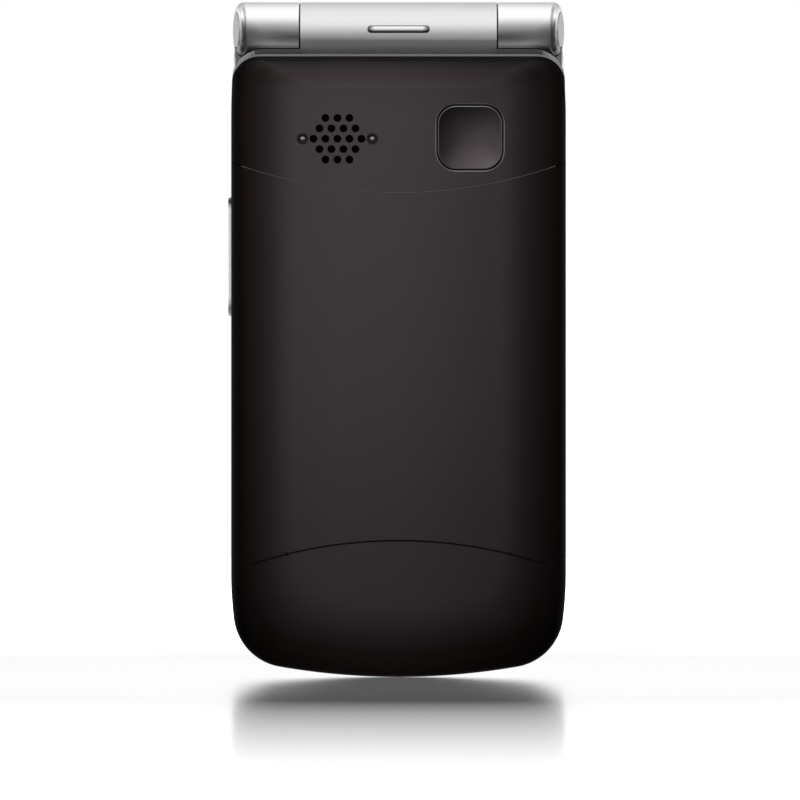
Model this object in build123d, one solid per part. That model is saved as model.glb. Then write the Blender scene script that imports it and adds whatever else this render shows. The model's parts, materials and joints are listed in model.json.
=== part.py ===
from build123d import *
import math
import os

# Folded clamshell phone, in millimetres. X runs across the phone, Y through its depth and Z from
# the bottom end up to the hinge. The base lies towards -Y, the lid towards +Y, and the keys face
# the lid. The origin is under the middle of the folded phone.

# Envelope
body_width = 54.0
body_height = 109.0
base_depth = 10.35
lid_depth = 8.35
face_gap = 0.3
frame_depth = 4.65
lid_frame_depth = 3.85

# Outline shared by base and lid: a bottom bow, a corner, a flank, a straight side, a tapered shoulder
bottom_radius = 112.0
corner_radius = 9.0
flank_radius = 60.0
flank_height = 16.5
taper_length = 19.0
taper_radius = 130.0

# Hinge
hinge_radius = 4.5
barrel_width = 31.7
knuckle_gap = 0.25
scoop_gap = 0.3
knuckle_inset = 0.8
knuckle_tilt = 11.0
knuckle_round = 1.2
shoulder_drop = 3.2
strip_height = 1.2
strip_undercut = 0.8
lip_height = 0.35
lip_reach = 0.8
lid_top_drop = 1.5
module_radius = 2.95
module_length = 13.0
shaft_radius = 1.9
tube_radius = 2.0
tube_bore = 1.35
pivot_depth = 6.4
pivot_reach = 4.0
running_fit = 0.05
cap_radius = 2.9
cap_thickness = 0.8
cap_proud = 0.1
cap_round = 0.25

# Walls and clearances
shell_wall = 1.1
side_wall = 1.2
face_wall = 1.0
lid_face_wall = 1.6
edge_round = 0.5
part_gap = 0.15
seat_gap = 0.05
cut_past = 1.0

# Rear surface
roll_side = 11.0
roll_bottom = 12.0
roll_top = 5.5
rear_corner = 4.5
frame_corner = 5.0
lid_corner = 1.5
lid_cover_corner = 4.0
roll_steps = 7

# Battery cover
parting_radius = 75.5
parting_drop = 22.0
groove_radius = 75.0
groove_high = 22.06
groove_width = 0.3
groove_depth = 0.3
groove_reach = 24.0
dimple_radius = 0.35
dimple_x = 18.0

# Loudspeaker grille
grille_x = -9.82
grille_drop = 13.4
grille_pitch = 1.93
grille_hole = 1.28
nub_diameter = 1.7
nub_offset = 5.6
nub_proud = 0.3
nub_floor = 0.3
speaker_radius = 6.2
speaker_gap = 0.3
mesh_thickness = 0.1

# Emergency key
sos_x = 11.5
sos_drop = 13.2
sos_width = 11.06
sos_height = 10.9
sos_corner = 3.3
sos_groove = 0.35
sos_dish = 0.35
sos_travel = 0.5
sos_flange = 0.6
sos_flange_thickness = 0.5
sos_switch_width = 6.0
sos_plunger_radius = 1.6
sos_plunger_height = 0.4

# Volume rocker on the -X side
rocker_low = 58.2
rocker_length = 19.2
rocker_depth = 2.6
rocker_proud = 0.5
rocker_inner = 1.5
rocker_round = 0.4
rocker_gap = 0.2
rocker_room = 0.3
rocker_flange = 0.5
rib_thickness = 0.8
switch_room = 0.5
switch_thickness = 0.65
switch_spread = 6.5
switch_length = 3.2
switch_depth = 2.0

# Keypad
keypad_margin = 6.4
digit_gap = 1.4
digit_height = 8.8
digit_corner = 2.4
digit_pitch_z = 10.6
digit_low = 12.0
call_rise = 12.6
soft_width = 10.6
soft_height = 6.4
soft_rise = 31.5
nav_gap = 0.8
nav_height = 17.0
nav_corner = 6.0
nav_rise = 23.6
nav_sink = 0.05
nav_room = 0.25
ok_width = 7.6
ok_height = 6.6
ok_corner = 2.0
key_proud = 0.15
key_flange = 0.4
key_flange_thickness = 0.45
key_travel = 0.3
key_round = 0.3
microphone_hole = 0.5
microphone_z = 4.4

# Inside the base
board_margin = 5.9
board_low = 4.5
board_top_gap = 2.5
board_thickness = 0.8
sheet_margin = 6.0
sheet_thickness = 0.5
dome_radius = 2.2
dome_height = 0.4
can_margin = 10.0
can_low = 14.0
can_gap = 4.0
can_top_gap = 12.0
plate_thickness = 0.75
battery_margin = 9.0
battery_low = 25.0
battery_round = 0.8
contact_room = 2.0
contact_width = 1.8
contact_pitch = 4.0
contact_height = 2.4
tray_wall = 0.9
screw_inset = 3.8
screw_low = 14.0
screw_rocker_gap = 4.2
boss_radius = 1.7
screw_radius = 0.65
screw_length = 3.4
screw_head = 1.25
screw_head_height = 0.8
screw_drive_depth = 0.4
motor_radius = 4.0
motor_height = 3.0
motor_x = 13.0
motor_z = 15.0
sim_width = 15.0
sim_height = 13.0
sim_thickness = 1.4
sim_x = -11.5
sim_z = 16.0
antenna_width = 21.0
antenna_height = 5.0
antenna_thickness = 2.0
antenna_x = -2.5
antenna_z = 6.5
microphone_width = 4.0
microphone_height = 1.8
flex_offset = 4.4
flex_width = 2.8
flex_room = 0.35
flex_thickness = 0.2
flex_overlap = 6.0

# Sockets on the +X side
usb_z = 40.0
usb_width = 7.6
usb_height = 2.5
usb_wall = 0.3
usb_depth = 4.6
tongue_depth = 5.0
tongue_setback = 1.2
tongue_width = 3.8
tongue_thickness = 0.7
jack_drop = 5.8
jack_lead = 0.9
jack_radius = 2.5
jack_bore = 1.76
jack_length = 13.0
jack_bore_length = 12.0
jack_inset = 0.4

# Indicator window on the hinge barrel
pill_width = 10.1
pill_height = 1.24
pill_depth = 0.8

# Lid
lens_margin = 6.5
lens_height = 66.0
lens_low = 20.0
lens_corner = 2.5
lens_thickness = 0.75
lens_border = 2.0
screen_height = 49.4
screen_corner = 0.8
display_margin = 0.3
display_height = 58.0
display_thickness = 1.8
window_width = 33.0
window_height = 25.0
window_corner = 3.0
window_z = 56.0
window_thickness = 0.7
window_border = 2.0
outer_display_margin = 1.1
outer_display_thickness = 1.8
camera_drop = 16.5
camera_radius = 3.4
camera_rim = 1.1
camera_sink = 0.5
camera_proud = 0.2
camera_width = 8.0
receiver_z = 11.5
receiver_width = 15.0
receiver_height = 7.0
receiver_depth = 2.2
slot_width = 9.0
slot_height = 1.2
lid_screw_inset = 4.1
lid_screw_low = 12.0
lid_screw_drop = 6.5
lid_boss_radius = 1.6
lid_head_height = 0.5
lid_screw_length = 4.0
bumper_radius = 1.3
bumper_depth = 0.5
bumper_proud = 0.25
lid_board_thickness = 0.6
magnet_radius = 2.0
magnet_thickness = 1.5
magnet_x = -14.0

# Depths, as planes across the phone
half_width = body_width / 2
total_depth = base_depth + face_gap + lid_depth
rear_y = -total_depth / 2
base_face_y = rear_y + base_depth
lid_face_y = base_face_y + face_gap
front_y = lid_face_y + lid_depth
split_y = base_face_y - frame_depth
lid_split_y = lid_face_y + lid_frame_depth
shell_inner_y = rear_y + shell_wall
lid_shell_y = front_y - shell_wall
hinge_y = (base_face_y + lid_face_y) / 2
wall_back_y = base_face_y - face_wall
flange_top_y = wall_back_y - seat_gap
flange_back_y = flange_top_y - key_flange_thickness
sheet_top_y = flange_back_y - key_travel - seat_gap
sheet_back_y = sheet_top_y - sheet_thickness
dome_back_y = sheet_back_y - dome_height - seat_gap
board_back_y = dome_back_y - board_thickness
plate_y = split_y - plate_thickness
plate_seat_y = plate_y - seat_gap
battery_back_y = shell_inner_y + part_gap
sos_back_y = shell_inner_y + seat_gap
lid_wall_y = lid_face_y + lid_face_wall
lid_seat_y = lid_wall_y + seat_gap
lens_back_y = lid_face_y + seat_gap + lens_thickness
display_back_y = lid_seat_y + display_thickness
lid_board_y = display_back_y + seat_gap
lid_board_back_y = lid_board_y + lid_board_thickness
lid_screw_y = lid_face_y + bumper_depth + seat_gap * 2 + lid_head_height
usb_y = board_back_y + board_thickness / 2
jack_y = split_y + jack_lead
rocker_y = (split_y + base_face_y) / 2
flex_y = wall_back_y - flex_room - part_gap
pill_floor_y = hinge_y - hinge_radius + pill_depth

# Heights, from the hinge down and from the bottom end up
hinge_z = body_height - hinge_radius
scoop_radius = hinge_radius + scoop_gap
taper_z = body_height - taper_length
frame_top = hinge_z - shoulder_drop
rear_top = frame_top - strip_height
lip_top = rear_top + lip_height
lid_top = hinge_z - lid_top_drop
cavity_top = hinge_z - scoop_radius - side_wall
grille_z = rear_top - grille_drop
sos_z = rear_top - sos_drop
jack_z = rear_top - jack_drop
camera_z = lid_top - camera_drop
parting_low = rear_top - parting_drop
parting_centre = parting_low + parting_radius
groove_centre = groove_high - groove_radius
dimple_z = groove_centre + math.sqrt(groove_radius**2 - dimple_x**2)
board_high = cavity_top - board_top_gap
battery_high = parting_low - side_wall - contact_room
rocker_high = rocker_low + rocker_length
rocker_z = rocker_low + rocker_length / 2
screw_high = rocker_low - screw_rocker_gap
digit_top = digit_low + 3 * digit_pitch_z
nav_z = digit_top + nav_rise
lens_z = lens_low + lens_height / 2
lid_screw_high = cavity_top - lid_screw_drop

# Widths, from the middle out
barrel_half = barrel_width / 2
knuckle_start = barrel_half + knuckle_gap
knuckle_reach = half_width - knuckle_inset
pivot_end = knuckle_start + pivot_depth
keypad_half = half_width - keypad_margin
digit_width = (2 * keypad_half - 2 * digit_gap) / 3
digit_pitch_x = digit_width + digit_gap
soft_x = keypad_half - soft_width / 2
nav_width = 2 * (keypad_half - soft_width - nav_gap)
board_half = half_width - board_margin
battery_half = half_width - battery_margin
screw_x = half_width - screw_inset
lid_screw_x = half_width - lid_screw_inset
lens_width = body_width - 2 * lens_margin
rocker_back_x = -half_width + side_wall + rocker_inner
rib_x = rocker_back_x + switch_room + switch_thickness
flex_x = -barrel_half + pivot_reach + flex_offset
flex_radius = tube_bore - 2 * seat_gap


def block(x0, x1, y0, y1, z0, z1):
    middle = Pos((x0 + x1) / 2, (y0 + y1) / 2, (z0 + z1) / 2)
    return middle * Box(x1 - x0, y1 - y0, z1 - z0)


def slab(sketch, y0, y1):
    # A sketch drawn across the phone, as (x, z), given thickness from y0 to y1.
    return extrude(Plane.XZ.offset(-y1) * sketch, y1 - y0)


def rod_x(radius, x0, x1, y=hinge_y, z=hinge_z):
    return Pos((x0 + x1) / 2, y, z) * Rot(0, 90, 0) * Cylinder(radius, x1 - x0)


def rod_y(radius, y0, y1, x, z):
    return Pos(x, (y0 + y1) / 2, z) * Rot(90, 0, 0) * Cylinder(radius, y1 - y0)


def pad(x, z, width, height, corner):
    return Pos(x, z) * RectangleRounded(width, height, corner)


def both_sides(shape):
    return shape + mirror(shape, about=Plane.YZ)


def away(centre, through, distance):
    return centre + (through - centre).normalized() * distance


def arc_about(centre, start, end):
    middle = away(centre, (start + end) / 2, (start - centre).length)
    return ThreePointArc(start, middle, end)


def bottom_corner_centre():
    # The corner arc touches the bottom bow and the flank from inside, so its centre lies on
    # two circles about their centres.
    bow = Vector(0, bottom_radius)
    flank = Vector(half_width - flank_radius, flank_height)
    bow_reach = bottom_radius - corner_radius
    flank_reach = flank_radius - corner_radius
    apart = (flank - bow).length
    towards = (flank - bow).normalized()
    along = (bow_reach**2 - flank_reach**2 + apart**2) / (2 * apart)
    aside = math.sqrt(bow_reach**2 - along**2)
    return bow + towards * along + Vector(-towards.Y, towards.X) * aside


def outline(top, corner, inset=0.0):
    # The phone's outline up to a flat top edge, drawn inset from its outer line.
    bow = Vector(0, bottom_radius)
    flank = Vector(half_width - flank_radius, flank_height)
    shoulder = Vector(half_width - taper_radius, taper_z)
    low = bottom_corner_centre()
    rise = top - corner - taper_z
    reach = math.sqrt((taper_radius - inset - corner) ** 2 - rise**2)
    high = Vector(shoulder.X + reach, top - corner)
    side = half_width - inset
    bow_end = away(bow, low, bottom_radius - inset)
    corner_end = away(flank, low, flank_radius - inset)
    side_low = Vector(side, flank_height)
    side_high = Vector(side, taper_z)
    taper_end = away(shoulder, high, taper_radius - inset)
    top_end = Vector(high.X, top)
    right = [
        arc_about(low, bow_end, corner_end),
        arc_about(flank, corner_end, side_low),
        Line(side_low, side_high),
        arc_about(shoulder, side_high, taper_end),
        arc_about(high, taper_end, top_end),
    ]
    left = [mirror(edge, about=Plane.YZ).edge() for edge in right]
    top_line = Line(top_end, Vector(-top_end.X, top))
    bottom_line = ThreePointArc(Vector(-bow_end.X, bow_end.Y), Vector(0, inset), bow_end)
    return make_face(right + left + [top_line, bottom_line])


def pillow(top, corner, inset, start, end, side, bottom, upper):
    # A domed solid: its section shrinks along a quarter ellipse from the outline at start
    # to a flat face at end.
    flat = outline(top, corner, inset)
    half = half_width - inset
    sections = []
    for step in range(roll_steps + 1):
        angle = math.pi / 2 * step / roll_steps
        roll = 1 - math.cos(angle)
        y = start + (end - start) * math.sin(angle)
        low = inset + bottom * roll
        high = top - upper * roll
        x_share = (half - side * roll) / half
        z_share = (high - low) / (top - inset)
        section = Pos(0, low - inset * z_share) * scale(flat, by=(x_share, z_share, 1))
        sections.append(Plane.XZ.offset(-y) * section)
    return loft(sections)


def rear_pillow(inset):
    return pillow(
        rear_top - inset, rear_corner - inset, inset, split_y, rear_y + inset,
        roll_side - inset, roll_bottom - inset, roll_top - inset)


def lid_pillow(inset):
    return pillow(
        lid_top - inset, lid_cover_corner - inset, inset, lid_split_y, front_y - inset,
        roll_side - inset, roll_bottom - inset, roll_top - inset)


def key_places():
    # Name, x, z, width, height and corner of each plain key. The keypad faces +Y, so for the
    # person who reads it the first key of a row is the one towards +X.
    names = [["key_star", "key_0", "key_hash"], ["key_7", "key_8", "key_9"],
             ["key_4", "key_5", "key_6"], ["key_1", "key_2", "key_3"]]
    places = []
    for row, row_names in enumerate(names):
        for column, name in enumerate(row_names):
            x = (1 - column) * digit_pitch_x
            z = digit_low + row * digit_pitch_z
            places.append((name, x, z, digit_width, digit_height, digit_corner))
    z = digit_top + call_rise
    for name, side in (("call_key", 1), ("end_key", -1)):
        x = side * digit_pitch_x
        places.append((name, x, z, digit_width, digit_height, digit_corner))
    z = digit_top + soft_rise
    for name, side in (("soft_key_left", 1), ("soft_key_right", -1)):
        places.append((name, side * soft_x, z, soft_width, soft_height, digit_corner))
    return places


def base_frame():
    body = slab(outline(frame_top, frame_corner), split_y, base_face_y)
    rim = body.faces().sort_by(Axis.Y)[-1].edges()
    body = fillet(rim, edge_round)
    body -= both_sides(strip_cut())
    body -= shoulder_cut()
    lip = outline(lip_top, rear_corner + lip_height) - outline(rear_top, rear_corner)
    body += slab(lip, split_y - lip_reach, split_y + side_wall)
    scoop = rod_x(scoop_radius, barrel_half, half_width + side_wall)
    body -= both_sides(scoop)
    web_y = hinge_y - hinge_radius / 3
    body += block(-barrel_half, barrel_half, web_y, base_face_y, cavity_top, hinge_z)
    body += rod_x(hinge_radius, -barrel_half, barrel_half)
    cavity = outline(cavity_top, frame_corner - side_wall, side_wall)
    body -= slab(cavity, split_y - lip_reach, wall_back_y)
    for x in (-screw_x, screw_x):
        for z in (screw_low, screw_high):
            body += rod_y(boss_radius, split_y, wall_back_y, x, z)
            body -= rod_y(screw_radius + seat_gap, split_y, wall_back_y - seat_gap, x, z)
    for name, x, z, width, height, corner in key_places():
        grown = pad(x, z, width + 2 * part_gap, height + 2 * part_gap, corner + part_gap)
        body -= slab(grown, wall_back_y - cut_past, base_face_y + cut_past)
    width = nav_width + 2 * part_gap
    height = nav_height + 2 * part_gap
    grown = pad(0, nav_z, width, height, nav_corner + part_gap)
    body -= slab(grown, wall_back_y - cut_past, base_face_y + cut_past)
    body -= rod_y(microphone_hole, wall_back_y - cut_past, base_face_y + cut_past, 0, microphone_z)
    body += switch_rib()
    body -= rocker_slot()
    body -= usb_mouth()
    body -= jack_hole()
    body -= rod_x(module_radius + seat_gap, barrel_half - module_length, barrel_half + knuckle_gap)
    body -= rod_x(tube_radius + running_fit, -barrel_half - knuckle_gap, flex_x)
    rear_edge = flex_y - flex_room
    flex_low = flex_x - flex_width
    body -= block(flex_low, flex_x, rear_edge, hinge_y, hinge_z - flex_room, hinge_z + flex_room)
    body -= block(flex_low, flex_x, rear_edge, flex_y + flex_room, cavity_top - cut_past, hinge_z)
    pill = Pos(0, hinge_z) * SlotOverall(pill_width, pill_height)
    body -= slab(pill, hinge_y - hinge_radius - cut_past, pill_floor_y)
    return body


def strip_cut():
    # Undercuts the strip below the right knuckle, so that its face leans down.
    lean = strip_height / strip_undercut
    back_y = split_y - cut_past
    wedge = Polygon(
        (back_y, frame_top + cut_past * lean), (back_y, rear_top),
        (split_y + strip_undercut, rear_top), align=None)
    return extrude(Plane.YZ.offset(barrel_half) * wedge, half_width)


def shoulder_cut():
    # Between the knuckles the barrel's round face runs on down to the lip.
    reach = hinge_radius * math.sin(math.radians(45))
    face_y = hinge_y - reach
    face_z = hinge_z - reach
    foot_y = face_y + face_z - lip_top
    back_y = split_y - cut_past
    high = frame_top + cut_past
    corner = Polygon(
        (back_y, lip_top), (foot_y, lip_top), (face_y, face_z), (face_y, high), (back_y, high),
        align=None)
    return extrude(Plane.YZ.offset(-barrel_half) * corner, barrel_width)


def switch_rib():
    back_x = rib_x + seat_gap
    rear_edge = split_y + part_gap
    return block(back_x, back_x + rib_thickness, rear_edge, wall_back_y, rocker_low, rocker_high)


def rocker_slot():
    half = rocker_depth / 2 + rocker_gap
    return block(
        -half_width - cut_past, -half_width + side_wall + seat_gap, rocker_y - half, rocker_y + half,
        rocker_low - rocker_gap, rocker_high + rocker_gap)


def usb_mouth():
    inner_x = half_width - side_wall - cut_past
    half = usb_height / 2 + seat_gap
    return usb_block(inner_x, half_width + cut_past, half, usb_width / 2 + seat_gap)


def jack_hole():
    inner_x = half_width - side_wall - jack_length
    return rod_x(jack_radius + seat_gap, inner_x, half_width + cut_past, jack_y, jack_z)


def grille_points():
    # Nineteen points in five rows of a hexagon.
    rise = grille_pitch * math.sqrt(3) / 2
    points = []
    for row in range(-2, 3):
        count = 5 - abs(row)
        for column in range(count):
            points.append((grille_x + (column - (count - 1) / 2) * grille_pitch, grille_z + row * rise))
    return points


def rear_housing():
    outer = rear_pillow(0.0)
    inner = rear_pillow(shell_wall)
    above = slab(Pos(0, parting_centre) * Circle(parting_radius), rear_y - cut_past, split_y)
    shell = (outer - inner) & above
    plate = outline(rear_top - shell_wall, rear_corner - shell_wall, shell_wall + part_gap)
    plate = slab(plate, plate_y, split_y)
    half_wall = shell_wall / 2
    top_plate = outline(rear_top - half_wall, rear_corner - half_wall, half_wall)
    plate += slab(top_plate, plate_y, split_y) & above
    within = Pos(0, parting_centre) * Circle(parting_radius - side_wall)
    wall = above - slab(within, rear_y - 2 * cut_past, split_y + cut_past)
    wall = wall & rear_pillow(shell_wall)
    body = shell + plate + wall
    bay_half = battery_half + part_gap
    bay_low = battery_low - part_gap
    bay_high = battery_high + contact_room - tray_wall
    body += block(-bay_half - tray_wall, bay_half + tray_wall, battery_back_y + part_gap, plate_y,
                  bay_low - tray_wall, bay_high + tray_wall)
    body -= block(-bay_half, bay_half, rear_y, plate_y, bay_low, bay_high)
    for x, z in grille_points():
        body -= rod_y(grille_hole / 2, rear_y - cut_past, shell_inner_y + cut_past, x, z)
    nub_hole = nub_diameter / 2 + seat_gap
    nub_floor_y = shell_inner_y - nub_floor
    for side in (-1, 1):
        x = grille_x + side * nub_offset
        body -= rod_y(nub_hole, rear_y - cut_past, nub_floor_y, x, grille_z)
    sos_hole = pad(sos_x, sos_z, sos_width, sos_height, sos_corner)
    body -= slab(sos_hole, rear_y - cut_past, shell_inner_y + cut_past)
    for x in (-screw_x, screw_x):
        for z in (screw_low, screw_high):
            body -= rod_y(screw_radius + part_gap, plate_y - cut_past, split_y + cut_past, x, z)
    body -= jack_hole()
    return body


def battery_cover():
    rim_y = split_y - part_gap
    body = rear_pillow(0.0) - rear_pillow(shell_wall)
    above = Pos(0, parting_centre) * Circle(parting_radius + part_gap)
    body -= slab(above, rear_y - cut_past, split_y + cut_past)
    reach = half_width + cut_past
    body -= block(-reach, reach, rim_y, split_y + cut_past, -cut_past, body_height)
    ring = Circle(groove_radius + groove_width / 2) - Circle(groove_radius - groove_width / 2)
    ring = slab(Pos(0, groove_centre) * ring, rear_y - cut_past, split_y)
    high = groove_high + groove_width
    ring = ring & block(-groove_reach, groove_reach, rear_y - cut_past, split_y, 0, high)
    body -= ring - rear_pillow(groove_depth)
    for x in (-dimple_x, dimple_x):
        body -= rod_y(dimple_radius, rear_y - cut_past, shell_inner_y - groove_depth, x, dimple_z)
    return body


def nubs():
    group = []
    for side in (-1, 1):
        x = grille_x + side * nub_offset
        post = rod_y(nub_diameter / 2, rear_y, shell_inner_y - nub_floor, x, grille_z)
        ball_radius = ((nub_diameter / 2) ** 2 + nub_proud**2) / (2 * nub_proud)
        ball = Pos(x, rear_y - nub_proud + ball_radius, grille_z) * Sphere(ball_radius)
        dome = ball & rod_y(nub_diameter / 2, rear_y - cut_past, rear_y, x, grille_z)
        group.append(post + dome)
    return Compound(children=[piece.solid() for piece in group])


def plain_key(x, z, width, height, corner, top_y, flange_y=flange_top_y):
    cap = slab(pad(x, z, width, height, corner), flange_back_y, top_y)
    cap = fillet(cap.faces().sort_by(Axis.Y)[-1].edges(), key_round)
    flange = pad(x, z, width + 2 * key_flange, height + 2 * key_flange, corner + key_flange)
    return cap + slab(flange, flange_back_y, flange_y)


def nav_rocker():
    top_y = base_face_y - nav_sink
    ring = plain_key(0, nav_z, nav_width, nav_height, nav_corner, top_y, flange_top_y - nav_room)
    room = pad(0, nav_z, ok_width + 2 * part_gap, ok_height + 2 * part_gap, ok_corner + part_gap)
    return ring - slab(room, flange_back_y - cut_past, top_y + cut_past)


def ok_key():
    cap = slab(pad(0, nav_z, ok_width, ok_height, ok_corner), flange_back_y, base_face_y + key_proud)
    return fillet(cap.faces().sort_by(Axis.Y)[-1].edges(), key_round)


def sos_key():
    top_y = rear_y + seat_gap
    width = sos_width - 2 * sos_groove
    height = sos_height - 2 * sos_groove
    cap = slab(pad(sos_x, sos_z, width, height, sos_corner - sos_groove), top_y, sos_back_y)
    cap = fillet(cap.faces().sort_by(Axis.Y)[0].edges(), key_round)
    half = min(width, height) / 2
    dish_radius = (half**2 + sos_dish**2) / (2 * sos_dish)
    cap -= Pos(sos_x, top_y + sos_dish - dish_radius, sos_z) * Sphere(dish_radius)
    width = sos_width + 2 * sos_flange
    height = sos_height + 2 * sos_flange
    flange = pad(sos_x, sos_z, width, height, sos_corner + sos_flange)
    return cap + slab(flange, sos_back_y, sos_back_y + sos_flange_thickness)


def sos_switch():
    plunger_y = sos_back_y + sos_flange_thickness + sos_travel + seat_gap
    body_y = plunger_y + sos_plunger_height
    half = sos_switch_width / 2
    body = block(sos_x - half, sos_x + half, body_y, plate_seat_y, sos_z - half, sos_z + half)
    return body + rod_y(sos_plunger_radius, plunger_y, body_y + seat_gap, sos_x, sos_z)


def volume_rocker():
    outer_x = -half_width - rocker_proud
    flange_x = -half_width + side_wall + rocker_room
    half = rocker_depth / 2
    bar = block(outer_x, flange_x, rocker_y - half, rocker_y + half, rocker_low, rocker_high)
    bar = fillet(bar.faces().sort_by(Axis.X)[0].edges(), rocker_round)
    low = rocker_low - rocker_flange
    high = rocker_high + rocker_flange
    return bar + block(flange_x, rocker_back_x, rocker_y - half, rocker_y + half, low, high)


def volume_switches():
    group = []
    for side in (-1, 1):
        z = rocker_z + side * switch_spread
        group.append(block(rib_x - switch_thickness, rib_x, rocker_y - switch_depth / 2,
                           rocker_y + switch_depth / 2, z - switch_length / 2, z + switch_length / 2))
    return Compound(children=[piece.solid() for piece in group])


def screws(xs, zs, head_y, length, head_height):
    # Pan-head screws whose heads sit at head_y and whose shanks run towards +Y.
    group = []
    for x in xs:
        for z in zs:
            top_y = head_y - head_height
            screw = rod_y(screw_radius, head_y, head_y + length, x, z)
            screw += rod_y(screw_head, top_y, head_y, x, z)
            drive_y = top_y + screw_drive_depth
            group.append(screw - rod_y(screw_head / 2, top_y - cut_past, drive_y, x, z))
    return Compound(children=[piece.solid() for piece in group])


def base_board():
    board = block(-board_half, board_half, board_back_y, dome_back_y, board_low, board_high)
    notch_x = half_width - side_wall - jack_length
    notch_z = jack_z - jack_radius - part_gap
    low_y = board_back_y - cut_past
    high_y = dome_back_y + cut_past
    return board - block(notch_x, half_width, low_y, high_y, notch_z, body_height)


def dome_switches():
    group = []
    places = [(x, z) for name, x, z, width, height, corner in key_places()]
    nav_reach = nav_height / 2 - dome_radius
    places += [(0, nav_z), (0, nav_z - nav_reach), (0, nav_z + nav_reach)]
    for x, z in places:
        group.append(rod_y(dome_radius, dome_back_y, dome_back_y + dome_height, x, z))
    return Compound(children=[piece.solid() for piece in group])


def keypad_sheet():
    low = digit_low - digit_height / 2 - 2 * key_flange
    high = digit_top + soft_rise + soft_height / 2 + 2 * key_flange
    width = body_width - 2 * sheet_margin
    return slab(pad(0, (low + high) / 2, width, high - low, digit_corner), sheet_back_y, sheet_top_y)


def shield_cans():
    depth = board_back_y - split_y - seat_gap
    group = []
    half = half_width - can_margin
    can_high = board_high - can_top_gap
    height = (can_high - can_low - can_gap) / 2
    for low in (can_low, can_high - height):
        high = low + height
        group.append(block(-half, half, board_back_y - depth, board_back_y - seat_gap, low, high))
    return Compound(children=[piece.solid() for piece in group])


def battery():
    pack = block(-battery_half, battery_half, battery_back_y, plate_seat_y, battery_low, battery_high)
    return fillet(pack.edges().filter_by(Axis.Z), battery_round)


def battery_contacts():
    low = battery_high + seat_gap
    high = battery_high + contact_room - tray_wall - seat_gap
    half = contact_width / 2
    group = []
    for x in (-contact_pitch, 0, contact_pitch):
        group.append(block(x - half, x + half, plate_y - contact_height, plate_seat_y, low, high))
    return Compound(children=[piece.solid() for piece in group])


def usb_socket():
    half = usb_height / 2
    reach = usb_width / 2
    outer_x = half_width - part_gap
    inner_x = board_half + seat_gap
    body = usb_block(inner_x, outer_x, half, reach)
    body -= usb_block(outer_x - usb_depth, half_width, half - usb_wall, reach - usb_wall)
    tongue_x = outer_x - tongue_setback
    return body + usb_block(outer_x - tongue_depth, tongue_x, tongue_thickness / 2, tongue_width / 2)


def usb_block(x0, x1, half, reach):
    return block(x0, x1, usb_y - half, usb_y + half, usb_z - reach, usb_z + reach)


def headset_jack():
    outer_x = half_width - jack_inset
    body = rod_x(jack_radius, half_width - side_wall - jack_length, outer_x, jack_y, jack_z)
    body -= rod_x(jack_bore, outer_x - jack_bore_length, outer_x + cut_past, jack_y, jack_z)
    room = rear_pillow(part_gap) + slab(outline(rear_top, rear_corner, part_gap), split_y, base_face_y)
    return body & room


def flex_cable():
    roll = rod_x(flex_radius, -knuckle_start - pivot_reach, flex_x - flex_room)
    tail_low = flex_x - flex_width + part_gap
    tail_high = flex_x - part_gap
    drop_y = flex_y - flex_room + seat_gap
    across = block(tail_low, tail_high, drop_y, hinge_y, hinge_z - flex_thickness, hinge_z)
    turn_z = cavity_top - cut_past
    down = block(tail_low, tail_high, drop_y, drop_y + flex_thickness, turn_z, hinge_z)
    seat_y = dome_back_y + seat_gap
    turn_top = turn_z + flex_thickness
    turn = block(tail_low, tail_high, seat_y, drop_y + flex_thickness, turn_z, turn_top)
    low = board_high - flex_overlap
    tail = block(tail_low, tail_high, seat_y, seat_y + flex_thickness, low, turn_top)
    return roll + across + down + turn + tail


def hinge_module():
    end = barrel_half
    can = rod_x(module_radius, end - module_length, end)
    return can - rod_x(shaft_radius + running_fit, end - pivot_reach - running_fit, end + cut_past)


def hinge_shaft():
    return rod_x(shaft_radius, barrel_half - pivot_reach, pivot_end)


def hinge_tube():
    inner_x = -barrel_half + pivot_reach
    bore = rod_x(tube_bore, -pivot_end - cut_past, inner_x + cut_past)
    return rod_x(tube_radius, -pivot_end, inner_x) - bore


def knuckle_end(shift):
    # The plane that ends the right knuckle, tilted towards the rear, moved outwards by shift.
    normal = Vector(math.cos(math.radians(knuckle_tilt)), -math.sin(math.radians(knuckle_tilt)), 0)
    return Plane(origin=Vector(knuckle_reach, hinge_y, hinge_z) + normal * shift, z_dir=normal)


def right_knuckle():
    rod = rod_x(hinge_radius, knuckle_start, half_width + hinge_radius)
    rod = split(rod, bisect_by=knuckle_end(0), keep=Keep.BOTTOM)
    outer = rod.faces().sort_by(Axis.X)[-1]
    return fillet(outer.edges(), knuckle_round)


def cap_pocket():
    mouth = knuckle_end(cap_thickness) * Circle(cap_radius + seat_gap)
    return extrude(mouth, -(2 * cap_thickness - cap_proud))


def hinge_caps():
    floor = knuckle_end(-(cap_thickness - cap_proud) + seat_gap)
    cap = extrude(floor * Circle(cap_radius), cap_thickness - seat_gap)
    cap = fillet(cap.faces().sort_by(Axis.X)[-1].edges(), cap_round)
    return Compound(children=[cap.solid(), mirror(cap, about=Plane.YZ).solid()])


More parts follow.
